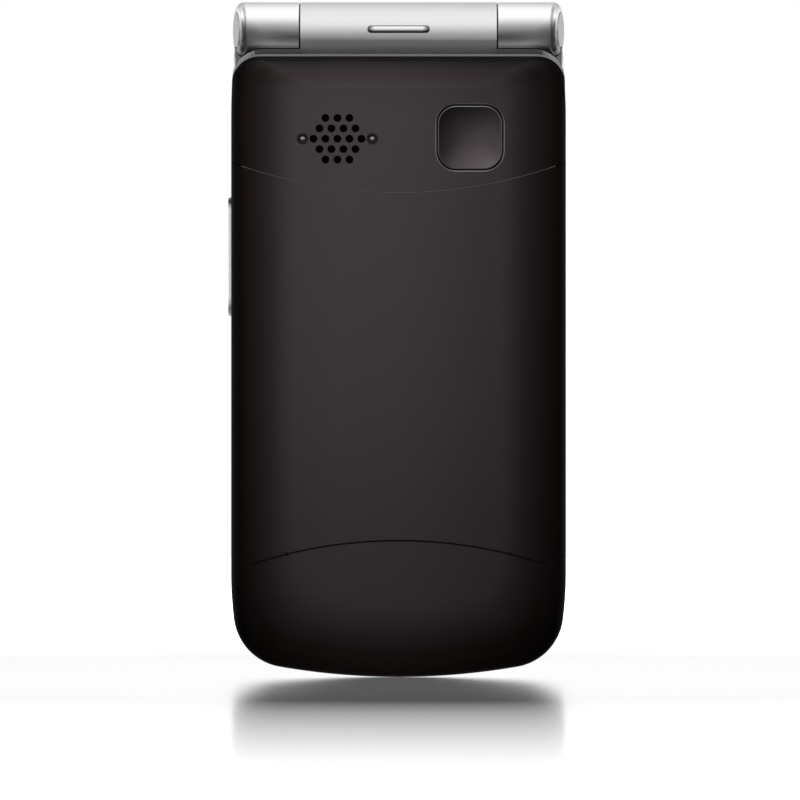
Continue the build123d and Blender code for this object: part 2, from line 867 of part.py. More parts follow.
def lid_frame():
    body = slab(outline(lid_top, lid_corner), lid_face_y, lid_split_y)
    rim = body.faces().sort_by(Axis.Y)[0].edges()
    body = fillet(rim, edge_round)
    body -= rod_x(scoop_radius, -knuckle_start, knuckle_start)
    body += both_sides(right_knuckle())
    cavity = outline(cavity_top, frame_corner - side_wall, side_wall)
    body -= slab(cavity, lid_wall_y, lid_split_y + cut_past)
    outside_y = lid_face_y - cut_past
    inside_y = lid_wall_y + cut_past
    recess = pad(0, lens_z, lens_width + 2 * seat_gap, lens_height + 2 * seat_gap, lens_corner)
    body -= slab(recess, outside_y, lens_back_y + seat_gap)
    screen = pad(0, lens_z, lens_width - 2 * lens_border, screen_height, screen_corner)
    body -= slab(screen, outside_y, inside_y)
    body -= slab(Pos(0, receiver_z) * SlotOverall(slot_width, slot_height), outside_y, inside_y)
    for x in (-lid_screw_x, lid_screw_x):
        for z in (lid_screw_low, lid_screw_high):
            body -= rod_y(bumper_radius + seat_gap, outside_y, lid_screw_y, x, z)
            body -= rod_y(screw_radius + part_gap, outside_y, inside_y, x, z)
    body -= both_sides(cap_pocket())
    body -= rod_x(shaft_radius + seat_gap / 2, barrel_half, pivot_end + part_gap)
    body -= rod_x(tube_radius + seat_gap / 2, -pivot_end - part_gap, -barrel_half)
    return body


def lid_cover():
    body = lid_pillow(0.0) - lid_pillow(shell_wall)
    body -= rod_x(scoop_radius, -half_width - cut_past, half_width + cut_past)
    for x in (-lid_screw_x, lid_screw_x):
        for z in (lid_screw_low, lid_screw_high):
            boss = rod_y(lid_boss_radius, lid_seat_y, front_y - shell_wall / 2, x, z)
            body += boss & lid_boss_room()
            hole_end_y = lid_screw_y + lid_screw_length + seat_gap
            body -= rod_y(screw_radius + seat_gap, lid_wall_y, hole_end_y, x, z)
    width = window_width + 2 * seat_gap
    height = window_height + 2 * seat_gap
    recess = pad(0, window_z, width, height, window_corner + seat_gap)
    body -= slab(recess, front_y - window_thickness - seat_gap, front_y + cut_past)
    inner_y = lid_shell_y - cut_past
    view = pad(0, window_z, window_width - 2 * window_border, window_height - 2 * window_border,
               window_corner - window_border)
    body -= slab(view, inner_y, front_y + cut_past)
    body -= rod_y(camera_radius + seat_gap, inner_y, front_y + cut_past, 0, camera_z)
    return body


def lid_boss_room():
    lower = outline(cavity_top, frame_corner - side_wall, side_wall + seat_gap)
    return slab(lower, lid_wall_y, lid_split_y) + lid_pillow(shell_wall / 2)


def outer_window():
    glass = pad(0, window_z, window_width, window_height, window_corner)
    return slab(glass, front_y - window_thickness, front_y - seat_gap)


def outer_display():
    back = lid_board_back_y + seat_gap
    half = window_width / 2 - outer_display_margin
    rise = window_height / 2 - outer_display_margin
    return block(-half, half, back, back + outer_display_thickness, window_z - rise, window_z + rise)


def camera_module():
    half = camera_width / 2
    housing_y = lid_shell_y - part_gap
    back = lid_board_back_y + seat_gap
    body = block(-half, half, back, housing_y, camera_z - half, camera_z + half)
    body += rod_y(camera_radius, housing_y - part_gap, front_y + camera_proud, 0, camera_z)
    mouth = camera_radius - camera_rim
    return body - rod_y(mouth, front_y - camera_sink, front_y + cut_past, 0, camera_z)


def lid_board():
    low = receiver_z + receiver_height / 2 + part_gap
    high = cavity_top - cut_past
    return block(-lens_width / 2, lens_width / 2, lid_board_y, lid_board_back_y, low, high)


def inner_lens():
    lens = pad(0, lens_z, lens_width, lens_height, lens_corner)
    return slab(lens, lid_face_y + seat_gap, lens_back_y)


def main_display():
    half = lens_width / 2 - display_margin
    rise = display_height / 2
    return block(-half, half, lid_seat_y, display_back_y, lens_z - rise, lens_z + rise)


def bumpers():
    group = []
    face = lid_face_y - bumper_proud
    for x in (-lid_screw_x, lid_screw_x):
        for z in (lid_screw_low, lid_screw_high):
            group.append(rod_y(bumper_radius, face, lid_face_y + bumper_depth, x, z))
    return Compound(children=[piece.solid() for piece in group])


def indicator_lens():
    window = SlotOverall(pill_width - 2 * seat_gap, pill_height - 2 * seat_gap)
    window = slab(Pos(0, hinge_z) * window, hinge_y - scoop_radius, pill_floor_y - seat_gap)
    return window & rod_x(hinge_radius + seat_gap, -barrel_half, barrel_half)


def plate_piece(x, z, width, height, thickness):
    half = width / 2
    rise = height / 2
    return block(x - half, x + half, plate_y - thickness, plate_seat_y, z - rise, z + rise)


def microphone():
    half = microphone_width / 2
    high = board_low + microphone_height
    return block(-half, half, dome_back_y + seat_gap, flange_top_y, board_low + seat_gap, high)


def receiver():
    half = receiver_width / 2
    rise = receiver_height / 2
    back = lid_seat_y + receiver_depth
    return block(-half, half, lid_seat_y, back, receiver_z - rise, receiver_z + rise)


def loudspeaker():
    return rod_y(speaker_radius, shell_inner_y + speaker_gap, plate_seat_y, grille_x, grille_z)


def speaker_mesh():
    front = shell_inner_y + seat_gap
    return rod_y(speaker_radius - shell_wall, front, front + mesh_thickness, grille_x, grille_z)


sub_parts = {
    "base_frame": base_frame(),
    "rear_housing": rear_housing(),
    "battery_cover": battery_cover(),
    "battery": battery(),
    "battery_contacts": battery_contacts(),
    "base_board": base_board(),
    "shield_cans": shield_cans(),
    "dome_switches": dome_switches(),
    "keypad_sheet": keypad_sheet(),
    "loudspeaker": loudspeaker(),
    "speaker_mesh": speaker_mesh(),
    "grille_nubs": nubs(),
    "sos_key": sos_key(),
    "sos_switch": sos_switch(),
    "volume_rocker": volume_rocker(),
    "volume_switches": volume_switches(),
    "vibration_motor": rod_y(motor_radius, plate_y - motor_height, plate_seat_y, motor_x, motor_z),
    "sim_holder": plate_piece(sim_x, sim_z, sim_width, sim_height, sim_thickness),
    "antenna": plate_piece(antenna_x, antenna_z, antenna_width, antenna_height, antenna_thickness),
    "microphone": microphone(),
    "usb_socket": usb_socket(),
    "headset_jack": headset_jack(),
    "base_screws": screws(
        (-screw_x, screw_x), (screw_low, screw_high), plate_seat_y, screw_length, screw_head_height),
    "indicator_lens": indicator_lens(),
    "hinge_module": hinge_module(),
    "flex_cable": flex_cable(),
    "nav_rocker": nav_rocker(),
    "ok_key": ok_key(),
    "lid_frame": lid_frame(),
    "lid_cover": lid_cover(),
    "outer_window": outer_window(),
    "outer_display": outer_display(),
    "camera_module": camera_module(),
    "lid_board": lid_board(),
    "inner_lens": inner_lens(),
    "main_display": main_display(),
    "receiver": receiver(),
    "lid_magnet": rod_y(magnet_radius, lid_seat_y, lid_seat_y + magnet_thickness, magnet_x, receiver_z),
    "bumpers": bumpers(),
    "lid_screws": screws(
        (-lid_screw_x, lid_screw_x), (lid_screw_low, lid_screw_high), lid_screw_y - seat_gap,
        lid_screw_length, lid_head_height),
    "hinge_shaft": hinge_shaft(),
    "hinge_tube": hinge_tube(),
    "hinge_caps": hinge_caps(),
}
for name, x, z, width, height, corner in key_places():
    sub_parts[name] = plain_key(x, z, width, height, corner, base_face_y + key_proud)

os.makedirs("parts", exist_ok=True)
for name, shape in sub_parts.items():
    export_step(shape, f"parts/{name}.step")
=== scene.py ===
import json
from math import atan2, cos, hypot, pi, radians, sin, sqrt

import bmesh
import bpy
from mathutils import Matrix, Vector
from mathutils.bvhtree import BVHTree
from mathutils.interpolate import poly_3d_calc


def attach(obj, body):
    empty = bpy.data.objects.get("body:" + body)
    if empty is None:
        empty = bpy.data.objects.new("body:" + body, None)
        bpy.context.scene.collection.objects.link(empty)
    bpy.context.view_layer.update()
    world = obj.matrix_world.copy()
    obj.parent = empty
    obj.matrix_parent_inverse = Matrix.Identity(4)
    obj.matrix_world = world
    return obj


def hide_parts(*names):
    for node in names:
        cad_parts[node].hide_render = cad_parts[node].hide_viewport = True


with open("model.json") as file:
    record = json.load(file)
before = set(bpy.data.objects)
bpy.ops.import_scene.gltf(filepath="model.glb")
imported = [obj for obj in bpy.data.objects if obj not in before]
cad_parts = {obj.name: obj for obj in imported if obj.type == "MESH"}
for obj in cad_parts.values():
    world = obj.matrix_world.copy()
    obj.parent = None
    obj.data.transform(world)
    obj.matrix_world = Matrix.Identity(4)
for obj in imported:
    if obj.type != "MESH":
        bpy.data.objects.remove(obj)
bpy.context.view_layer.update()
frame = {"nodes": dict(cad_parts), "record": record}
nodes = frame["nodes"]
mm = 0.001
bodyOf = {}
for bodyName, members in frame["record"]["behaviour"]["bodies"].items():
    for member in members:
        bodyOf[member] = bodyName

# Outline that base and lid share, and the domed backs that grow from it, in millimetres
phone = {"halfWidth": 27.0, "bowRadius": 112.0, "cornerRadius": 9.0, "flankRadius": 60.0,
         "flankHeight": 16.5, "taperHeight": 90.0, "taperRadius": 130.0, "hingeY": 1.0,
         "hingeZ": 104.5}
rearShell = {"top": 100.1, "corner": 4.5, "start": -3.8, "end": -9.5}
lidShell = {"top": 103.0, "corner": 4.0, "start": 5.0, "end": 9.5}
domeRoll = {"side": 11.0, "bottom": 12.0, "upper": 5.5, "steps": 64}
outline = {"bow": 24, "corner": 16, "flank": 10, "side": 36, "taper": 8, "upper": 16, "top": 24,
           "least": 1e-4}
hingeY, hingeZ = phone["hingeY"] * mm, phone["hingeZ"] * mm


def lengths(**values):
    # Takes millimetres and gives metres.
    return {key: value * mm for key, value in values.items()}


def turning(start, end, steps):
    # Directions from one angle to another, as pairs of cosine and sine.
    angles = [start + (end - start) * step / steps for step in range(steps + 1)]
    return [(cos(angle), sin(angle)) for angle in angles]


def around(steps):
    return turning(0, 2 * pi, steps)[:-1]


def arcPoints(centre, radius, start, end, steps):
    directions = [Vector(pair) for pair in turning(start, end, steps)]
    return [(centre + direction * radius, direction) for direction in directions]


def straight(start, end, steps):
    way = end - start
    direction = Vector((way.y, -way.x)).normalized()
    return [(start + way * (step / steps), direction) for step in range(1, steps + 1)]


def angleOf(vector):
    return atan2(vector.y, vector.x)


def outlinePoints(top, corner):
    # Points in (x, z) with their outward directions, from the bottom middle up the right side.
    half, foot, shoulderZ = phone["halfWidth"], phone["flankHeight"], phone["taperHeight"]
    bow = Vector((0, phone["bowRadius"]))
    flank = Vector((half - phone["flankRadius"], foot))
    shoulder = Vector((half - phone["taperRadius"], shoulderZ))
    bowReach = phone["bowRadius"] - phone["cornerRadius"]
    flankReach = phone["flankRadius"] - phone["cornerRadius"]
    apart = (flank - bow).length
    towards = (flank - bow).normalized()
    along = (bowReach**2 - flankReach**2 + apart**2) / (2 * apart)
    aside = sqrt(bowReach**2 - along**2)
    low = bow + towards * along + Vector((-towards.y, towards.x)) * aside
    rise = top - corner - shoulderZ
    reach = sqrt((phone["taperRadius"] - corner) ** 2 - rise**2)
    high = Vector((shoulder.x + reach, top - corner))
    right = arcPoints(bow, phone["bowRadius"], -pi / 2, angleOf(low - bow), outline["bow"])
    right += arcPoints(low, phone["cornerRadius"], angleOf(low - bow), angleOf(low - flank),
                       outline["corner"])
    right += arcPoints(flank, phone["flankRadius"], angleOf(low - flank), 0, outline["flank"])
    right += straight(Vector((half, foot)), Vector((half, shoulderZ)), outline["side"])
    right += arcPoints(shoulder, phone["taperRadius"], 0, angleOf(high - shoulder),
                       outline["taper"])
    right += arcPoints(high, corner, angleOf(high - shoulder), pi / 2, outline["upper"])
    right += straight(Vector((high.x, top)), Vector((0, top)), outline["top"])
    points = []
    for point, direction in right:
        if not points or (point - points[-1][0]).length > outline["least"]:
            points.append((point, direction))
    return points + [(Vector((-p.x, p.y)), Vector((-d.x, d.y))) for p, d in reversed(points[1:-1])]


class DomedBack:
    # The smooth outer face of a shell, for laying points and shading on it.

    def __init__(self, shell):
        line = outlinePoints(shell["top"], shell["corner"])
        steps, count = domeRoll["steps"], len(line)
        depth = shell["end"] - shell["start"]
        facing = 1 if depth > 0 else -1
        half = phone["halfWidth"]
        ends = domeRoll["upper"] + domeRoll["bottom"]
        self.flat = Vector((0, facing, 0))
        self.points = []
        self.normals = []
        for step, (across, out) in enumerate(turning(0, pi / 2, steps)):
            roll = 1 - across
            xShare = (half - domeRoll["side"] * roll) / half
            zShare = (shell["top"] - ends * roll) / shell["top"]
            y = shell["start"] + depth * out
            for point, direction in line:
                z = domeRoll["bottom"] * roll + point.y * zShare
                edge = Vector((direction.x / xShare, direction.y / zShare)).normalized()
                inX = -point.x * domeRoll["side"] / half * out
                inZ = (domeRoll["bottom"] - point.y * (ends / shell["top"])) * out
                away = abs(depth) * across
                lean = -(edge.x * inX + edge.y * inZ) * facing
                normal = Vector((edge.x * away, lean, edge.y * away)).normalized()
                self.points.append(Vector((point.x * xShare, y, z)) * mm)
                self.normals.append(self.flat if step == steps else normal)
        self.polygons = []
        for ring in range(0, steps * count, count):
            for i in range(count):
                j = (i + 1) % count
                self.polygons.append((ring + i, ring + j, ring + count + j, ring + count + i))
        self.polygons.append(tuple(steps * count + i for i in range(count)))
        self.tree = BVHTree.FromPolygons(self.points, self.polygons)

    def nearest(self, place):
        spot, face, index, distance = self.tree.find_nearest(place)
        if index == len(self.polygons) - 1:
            return spot, self.flat, distance
        ids = self.polygons[index]
        shares = poly_3d_calc([self.points[i] for i in ids], spot)
        normal = Vector((0, 0, 0))
        for share, i in zip(shares, ids):
            normal += self.normals[i] * share
        return spot, normal.normalized(), distance

    def over(self, x, z):
        # The point of the back at (x, z) and its normal; x and z are in metres.
        spot = self.tree.ray_cast(Vector((x, 0, z)) + self.flat, -self.flat)[0]
        return self.nearest(spot)[:2]


rearBack = DomedBack(rearShell)
lidBack = DomedBack(lidShell)
print("domed backs laid out")

made = {}


def addNode(source, kind, values=None, family="ShaderNode", **settings):
    # The source is a tree or a socket of it. The values are plain, or sockets to be linked.
    tree = source.id_data
    node = tree.nodes.new(family + kind)
    for key, value in settings.items():
        setattr(node, key, value)
    for key, value in (values or {}).items():
        if isinstance(value, bpy.types.NodeSocket):
            tree.links.new(value, node.inputs[key])
        else:
            node.inputs[key].default_value = value
    return node


def tone(level):
    # A colour from three channels or from one grey level.
    return (*level, 1) if isinstance(level, tuple) else (level, level, level, 1)


def ramp(source, stops, interpolation="LINEAR"):
    node = addNode(source, "ValToRGB", {"Fac": source})
    node.color_ramp.interpolation = interpolation
    elements = node.color_ramp.elements
    for index in (0, -1):
        elements[index].position, elements[index].color = stops[index][0], tone(stops[index][1])
    for position, level in stops[1:-1]:
        elements.new(position).color = tone(level)
    return node.outputs["Color"]


def maths(operation, first, second=None):
    values = {0: first} if second is None else {0: first, 1: second}
    source = first if isinstance(first, bpy.types.NodeSocket) else second
    return addNode(source, "Math", values, operation=operation).outputs[0]


def times(first, second):
    return maths("MULTIPLY", first, second)


def mapped(source, low, high, side="From"):
    values = {side + " Min": low, side + " Max": high, "Value": source}
    return addNode(source, "MapRange", values).outputs["Result"]


def objectPlace(tree):
    return addNode(tree, "TexCoord").outputs["Object"]


def axes(place):
    return addNode(place, "SeparateXYZ", {0: place}).outputs


def speckle(place, size, detail=2.0):
    values = {"Vector": place, "Scale": 1 / size, "Detail": detail}
    return addNode(place, "TexNoise", values).outputs["Fac"]


def scaled(colour, factor):
    return addNode(colour, "Mix", {0: 1.0, 6: colour, 7: factor}, data_type="RGBA",
                   blend_type="MULTIPLY").outputs[2]


def roughen(shader, place, look):
    # Slight changes of gloss, and a fine grain where the look names one.
    low = max(look["leastRough"], look["rough"] - look["spread"])
    gloss = mapped(speckle(place, look["patch"], 1.0), low, look["rough"] + look["spread"], "To")
    links = place.id_data.links
    links.new(gloss, shader.inputs["Roughness"])
    if "grain" in look:
        bump = addNode(place, "Bump", {
            "Strength": look["bump"], "Distance": look["grain"] * look["grainDepth"],
            "Height": speckle(place, look["grain"])})
        links.new(bump.outputs["Normal"], shader.inputs["Normal"])


def mottled(place, look):
    # One colour with a faint mottle, with painted shade in the crevices if the look asks for it.
    low = tuple(channel * (1 - look["mottle"]) for channel in look["colour"])
    high = tuple(min(1.0, channel * (1 + look["mottle"])) for channel in look["colour"])
    stops = [(look["mottleFrom"], low), (look["mottleTo"], high)]
    colour = ramp(speckle(place, look["grain"]), stops)
    return scaled(colour, creviceShadeFactor(place)) if look["crevices"] else colour


usual = {"metal": 0.0, "shine": 0.5, "coat": 0.0, "coatRough": 0.08, "edgeTint": 1.0,
         "spread": 0.05, "leastRough": 0.02, "patch": 6 * mm, "grainDepth": 0.1, "mottle": 0.06,
         "mottleFrom": 0.3, "mottleTo": 0.7, "crevices": False}


def makeFinish(name, look, pattern=mottled):
    # A material with its gloss and grain; the pattern gives its colour.
    look = {**usual, **look}
    material = bpy.data.materials.new(name)
    material.use_nodes = True
    made[name] = material
    tree = material.node_tree
    shader = tree.nodes["Principled BSDF"]
    for label, key in (("Metallic", "metal"), ("Specular IOR Level", "shine"),
                       ("Coat Weight", "coat"), ("Coat Roughness", "coatRough")):
        shader.inputs[label].default_value = look[key]
    shader.inputs["Specular Tint"].default_value = tone(look["edgeTint"])
    place = objectPlace(tree)
    roughen(shader, place, look)
    tree.links.new(pattern(place, look), shader.inputs["Base Color"])
    return tree, shader, place


# Painted shade round the two points where the lid's corners meet its knuckles
crevices = {**lengths(x=26.5, z=100.5, near=2.5, far=6.0), "dark": (0.22, 0.216, 0.216)}


def creviceShadeFactor(place):
    # Painted shade: darkens the two crevices where the lid's corners meet its knuckles.
    spots = axes(place)
    across = maths("SUBTRACT", maths("ABSOLUTE", spots["X"]), crevices["x"])
    up = maths("SUBTRACT", spots["Z"], crevices["z"])
    square = maths("ADD", times(across, across), times(up, up))
    share = mapped(maths("SQRT", square), crevices["near"], crevices["far"])
    return ramp(share, [(0.0, crevices["dark"]), (1.0, 1.0)])


def paint(colour, rough, grain, bump=0.2, **rest):
    # The grain is in millimetres.
    return {"colour": colour, "rough": rough, "grain": grain * mm, "bump": bump, **rest}


silver = {"colour": (0.88, 0.885, 0.89), "metal": 0.95, "spread": 0.02, "grain": 0.09,
          "bump": 0.02, "mottle": 0.02}
cap = {"metal": 0.95, "spread": 0.02, "mottle": 0.03}
edge = {"metal": 0.9, "spread": 0.03, "mottle": 0.05}
polish = {"metal": 1.0, "spread": 0.03}
key = {"spread": 0.03, "coat": 0.3}
finishes = {
    "silverPaint": paint(rough=0.27, **silver),
    "barrelSilver": paint(rough=0.34, **silver),
    "cornerSilver": paint(rough=0.27, crevices=True, **silver),
    "capSilver": paint((0.4, 0.4, 0.405), 0.16, 0.12, 0.05, **cap),
    "silverCap": paint((0.72, 0.72, 0.725), 0.16, 0.12, 0.05, **cap),
    # Painted shade on the silver frame in greys, and near-black painted shadow for gaps and
    # recesses
    "lipPaint": paint((0.25, 0.243, 0.243), 0.34, 0.09, 0.12, **edge),
    "ledgePaint": paint((0.13, 0.127, 0.127), 0.34, 0.09, 0.12, **edge),
    "shoulderPaint": paint((0.36, 0.35, 0.35), 0.34, 0.09, 0.12, **edge),
    "blackGap": paint((0.006, 0.006, 0.006), 0.6, 0.2, 0.1, shine=0.2),
    "grooveShade": paint((0.004, 0.003, 0.003), 0.8, 0.2, 0.1, shine=0.02),
    "polishedEdge": paint((0.2, 0.192, 0.192), 0.25, 0.1, 0.05, **polish),
    "arcEdge": paint((0.13, 0.122, 0.122), 0.3, 0.1, 0.05, **polish),
    "pinCollarShade": paint((0.004, 0.0035, 0.0035), 0.35, 0.1, 0.05, spread=0.03, shine=0.3),
    "pinBall": paint((0.4, 0.39, 0.39), 0.2, 0.1, 0.03, **polish),
    "gauze": paint((0.001, 0.001, 0.001), 0.8, 0.05, shine=0.05),
    "greyKey": paint((0.035, 0.035, 0.037), 0.3, 0.12, 0.12, spread=0.03, shine=0.6, coat=0.2),
    "silverKey": paint((0.6, 0.605, 0.61), 0.28, 0.08, 0.1, metal=0.7, spread=0.03, mottle=0.03),
    "greenKey": paint((0.03, 0.22, 0.06), 0.28, 0.12, 0.1, **key),
    "redKey": paint((0.36, 0.02, 0.015), 0.28, 0.12, 0.1, **key),
    "palePrint": paint((0.78, 0.79, 0.8), 0.45, 0.1, 0.05, mottle=0.03),
    "rubber": paint((0.03, 0.03, 0.031), 0.75, 0.15, 0.3, spread=0.06, shine=0.3),
    "blackPart": paint((0.018, 0.018, 0.019), 0.5, 0.25, 0.3, spread=0.06),
    "board": paint((0.012, 0.1, 0.04), 0.35, 0.6, 0.1, spread=0.08, mottle=0.25, coat=0.4),
    "can": paint((0.6, 0.6, 0.59), 0.34, 0.4, 0.1, metal=1.0, spread=0.08, mottle=0.08),
    "springSteel": paint((0.62, 0.62, 0.61), 0.22, 0.2, 0.08, metal=1.0),
    "screwSteel": paint((0.2, 0.2, 0.205), 0.32, 0.1, 0.1, metal=1.0, spread=0.06),
    "gold": paint((0.9, 0.62, 0.22), 0.25, 0.15, 0.05, metal=1.0),
    "magnet": paint((0.66, 0.66, 0.65), 0.18, 0.3, 0.05, metal=1.0),
    "amberFilm": paint((0.5, 0.2, 0.03), 0.3, 0.5, 0.08, coat=0.4),
    "cameraGlass": paint((0.006, 0.005, 0.012), 0.05, 1, 0.01, spread=0.02, coat=0.2,
                         coatRough=0.02),
}
for finishName, look in finishes.items():
    makeFinish(finishName, look)


def flaredSilver(name, look):
    # Bright silver of the knuckles, which draw in below the middle and flare again at the foot.
    tree, shader, place = makeFinish(name, look)
    spots = axes(place)
    up = maths("SUBTRACT", spots["Z"], hingeZ)
    back = maths("SUBTRACT", hingeY, spots["Y"])
    lean = times(maths("ARCTAN2", up, back), 180 / pi)
    share = mapped(lean, look["fromAngle"], look["toAngle"])
    last = len(look["profile"]) - 1
    stops = [(index / last, level) for index, level in enumerate(look["profile"])]
    gloss = shader.inputs["Roughness"].links[0].from_socket
    dull = ramp(share, look["dullness"])
    tree.links.new(times(gloss, dull), shader.inputs["Roughness"])
    form = addNode(tree, "Bump", {
        "Strength": 1.0, "Distance": look["flare"], "Height": ramp(share, stops, "B_SPLINE")})
    grain = shader.inputs["Normal"].links[0].from_node
    tree.links.new(form.outputs["Normal"], grain.inputs["Normal"])


# The knuckles also carry the painted crevice shade at their feet.
flaredSilver("knuckleSilver", paint(
    (0.93, 0.932, 0.935), 0.17, 0.09, 0.06, metal=1.0, spread=0.015, mottle=0.02, crevices=True,
    flare=1.83 * mm, fromAngle=-54, toAngle=96,
    dullness=[(0.0, 1.3), (0.24, 1.5), (0.3, 1.8), (0.36, 1.5), (0.44, 1.0), (1.0, 1.0)],
    profile=[0.317, 0.257, 0.182, 0.102, 0.030, 0.000, 0.013, 0.065, 0.146, 0.237, 0.326, 0.408,
             0.483, 0.556, 0.628, 0.697, 0.760, 0.815, 0.863, 0.901, 0.933, 0.958, 0.977, 0.990,
             0.997, 1.000]))


def lacquerWithPaintedShade(place, look):
    # Dark satin lacquer with a fine metal flake; its colour carries painted shade, darker where the
    # back rolls away at the edges, and the look's fades lay more painted light and shade over it.
    spots = axes(place)
    deep = times(maths("SUBTRACT", spots["Y"], look["faceY"]), 1 / look["rollDepth"])
    colour = ramp(deep, look["byDepth"])
    for axis, low, high, stops in look["fades"]:
        share = mapped(spots[axis], low * mm, high * mm)
        colour = scaled(colour, ramp(share, stops))
    return colour


# Painted shade and light of the rear shell: byDepth darkens the colour where the back rolls away;
# the fade up Z is a painted sheen, darker low on the back, with painted light on the very foot and
# the top roll; the fades across X are a painted sheen that falls off to the right and painted shade
# at the sides.
shellLook = {
    "faceY": rearShell["end"] * mm,
    "rollDepth": (rearShell["start"] - rearShell["end"]) * mm,
    "byDepth": [(0.0, (0.0755, 0.0638, 0.068)), (0.03, (0.066, 0.054, 0.057)),
                (0.1, (0.05, 0.039, 0.0405)), (0.25, (0.028, 0.02, 0.0195)),
                (0.5, (0.018, 0.0115, 0.011)), (0.8, (0.014, 0.0085, 0.008)),
                (1.0, (0.012, 0.007, 0.0065))],
    "fades": [("Z", 0, 100, [
        (0.0, 2.2), (0.012, 1.9), (0.03, 1.2), (0.05, 0.8), (0.07, 0.62), (0.12, 0.54),
        (0.24, 0.61), (0.44, 0.78), (0.6, 0.87), (0.78, 0.95), (0.9, 0.98), (0.94, 0.93),
        (0.962, 0.8), (0.974, 1.0), (0.982, (1.4, 1.6, 1.65)), (0.989, (1.9, 2.4, 2.5)),
        (0.995, (2.9, 4.0, 4.2)), (1.0, (3.6, 5.1, 5.3))]), ("X", -17, 17, [
            (0.0, 0.9), (0.22, 1.0), (0.5, 0.96), (0.7, 0.86), (0.9, 0.72), (1.0, 0.68)]),
        ("X", -27, 27, [
            (0.0, 0.55), (0.022, 0.5), (0.034, 0.45), (0.048, 0.65), (0.06, 0.83), (0.08, 0.96),
            (0.1, 1.0), (0.9, 1.0), (0.93, 0.95), (0.945, 0.82), (0.962, 0.6), (1.0, 0.55)])],
    "metal": 0.85, "rough": 0.32, "spread": 0.02, "grain": 0.07 * mm, "bump": 0.1, "shine": 0.3,
    "edgeTint": 0.0,
}
makeFinish("rearSatinShaded", shellLook, lacquerWithPaintedShade)
# Painted light and shade on the emergency key's dish: darker towards its top and its left, lighter
# towards its bottom right.
makeFinish("keyLacquerShaded", {
    **shellLook, "rough": 0.24,
    "fades": [("Z", 82, 92, [(0.0, 1.35), (0.5, 0.88), (1.0, 0.3)]),
              ("X", 6, 17, [(0.0, 0.36), (0.5, 0.92), (1.0, 1.4)])],
    "byDepth": [(0.0, (0.0775, 0.0655, 0.0695)), (1.0, (0.0775, 0.0655, 0.0695))]}, lacquerWithPaintedShade)
# The lid's shell keeps the painted edge shade of byDepth and is painted darker towards the bottom.
makeFinish("lidSatinShaded", {
    **shellLook, "faceY": lidShell["end"] * mm,
    "rollDepth": (lidShell["start"] - lidShell["end"]) * mm,
    "fades": [("Z", 0, 100, [(0.0, 0.75), (0.5, 0.88), (1.0, 1.0)])]}, lacquerWithPaintedShade)


def endShadedBands(place, look):
    # Painted shade: a dark band near each end of the key.
    share = mapped(axes(place)["Z"], look["low"], look["high"])
    return ramp(share, look["bands"])


def framed(place, look):
    # A plain rectangular field inside a border of another colour.
    spots = axes(place)
    upZ = maths("ABSOLUTE", maths("SUBTRACT", spots["Z"], look["middle"]))
    inZ = maths("LESS_THAN", upZ, look["halfHeight"])
    inX = maths("LESS_THAN", maths("ABSOLUTE", spots["X"]), look["halfWidth"])
    return ramp(times(inX, inZ), [(0.0, look["border"]), (1.0, look["field"])])


def pipeWithPaintedShade(place, look):
    # Milky clear plastic over the indicator lamp, with painted shade towards its ends and along its
    # lower and upper edges where they sink in.
    spots = axes(place)
    out = maths("DIVIDE", maths("ABSOLUTE", spots["X"]), look["halfLength"])
    along = [(position, tuple(channel * level for channel in look["colour"]))
             for position, level in look["along"]]
    across = ramp(mapped(spots["Z"], look["low"], look["high"]), look["across"])
    return scaled(ramp(out, along), across)


makeFinish("rockerSilver", paint(
    None, 0.3, 0.09, 0.1, metal=0.9, spread=0.03, low=58.2 * mm, high=77.4 * mm,
    bands=[(0.0, 0.75), (0.045, 0.3), (0.075, 0.22), (0.11, 0.6), (0.16, 0.93), (0.9, 0.93),
           (0.93, 0.5), (0.955, 0.06), (0.975, 0.06), (1.0, 0.5)]), endShadedBands)
screen = {"rough": 0.06, "spread": 0.02, "patch": 12 * mm, "shine": 0.35,
          "border": (0.001, 0.001, 0.001)}
for name, field, extra in (
        ("mainGlass", (0.012, 0.014, 0.018), lengths(middle=53, halfWidth=18.5, halfHeight=24.7)),
        ("windowGlass", (0.01, 0.012, 0.015), lengths(middle=56, halfWidth=14.5, halfHeight=10.5))):
    makeFinish(name, {**screen, "field": field, **extra}, framed)
makeFinish("cellWrap", paint(
    None, 0.4, 0.3, 0.1, border=(0.03, 0.033, 0.04), field=(0.42, 0.43, 0.44),
    **lengths(middle=48, halfWidth=15, halfHeight=17)), framed)
makeFinish("lightPipe", paint(
    (0.9, 0.905, 0.91), 0.2, 0.2, 0.03, metal=0.8, spread=0.02,
    **lengths(halfLength=5.0, low=103.93, high=105.07),
    along=[(0.0, 1), (0.78, 1), (0.88, 0.4), (1.0, 0.1)],
    across=[(0.0, 0.05), (0.2, 0.08), (0.36, 0.45), (0.5, 1), (0.8, 1), (0.92, 0.55),
            (1.0, 0.3)]), pipeWithPaintedShade)
print("finishes made:", len(made))


def landed(piece, body, slot, replaced=()):
    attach(piece, body)
    if replaced:
        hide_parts(*replaced)


def baked(item):
    bpy.context.view_layer.update()
    graph = bpy.context.evaluated_depsgraph_get()
    return bpy.data.meshes.new_from_object(item.evaluated_get(graph))


def settle(piece):
    # Bakes the modifiers of a piece into its mesh.
    mesh = baked(piece)
    piece.modifiers.clear()
    piece.data = mesh
    return piece


def linked(name, data):
    item = bpy.data.objects.new(name, data)
    bpy.context.scene.collection.objects.link(item)
    return item


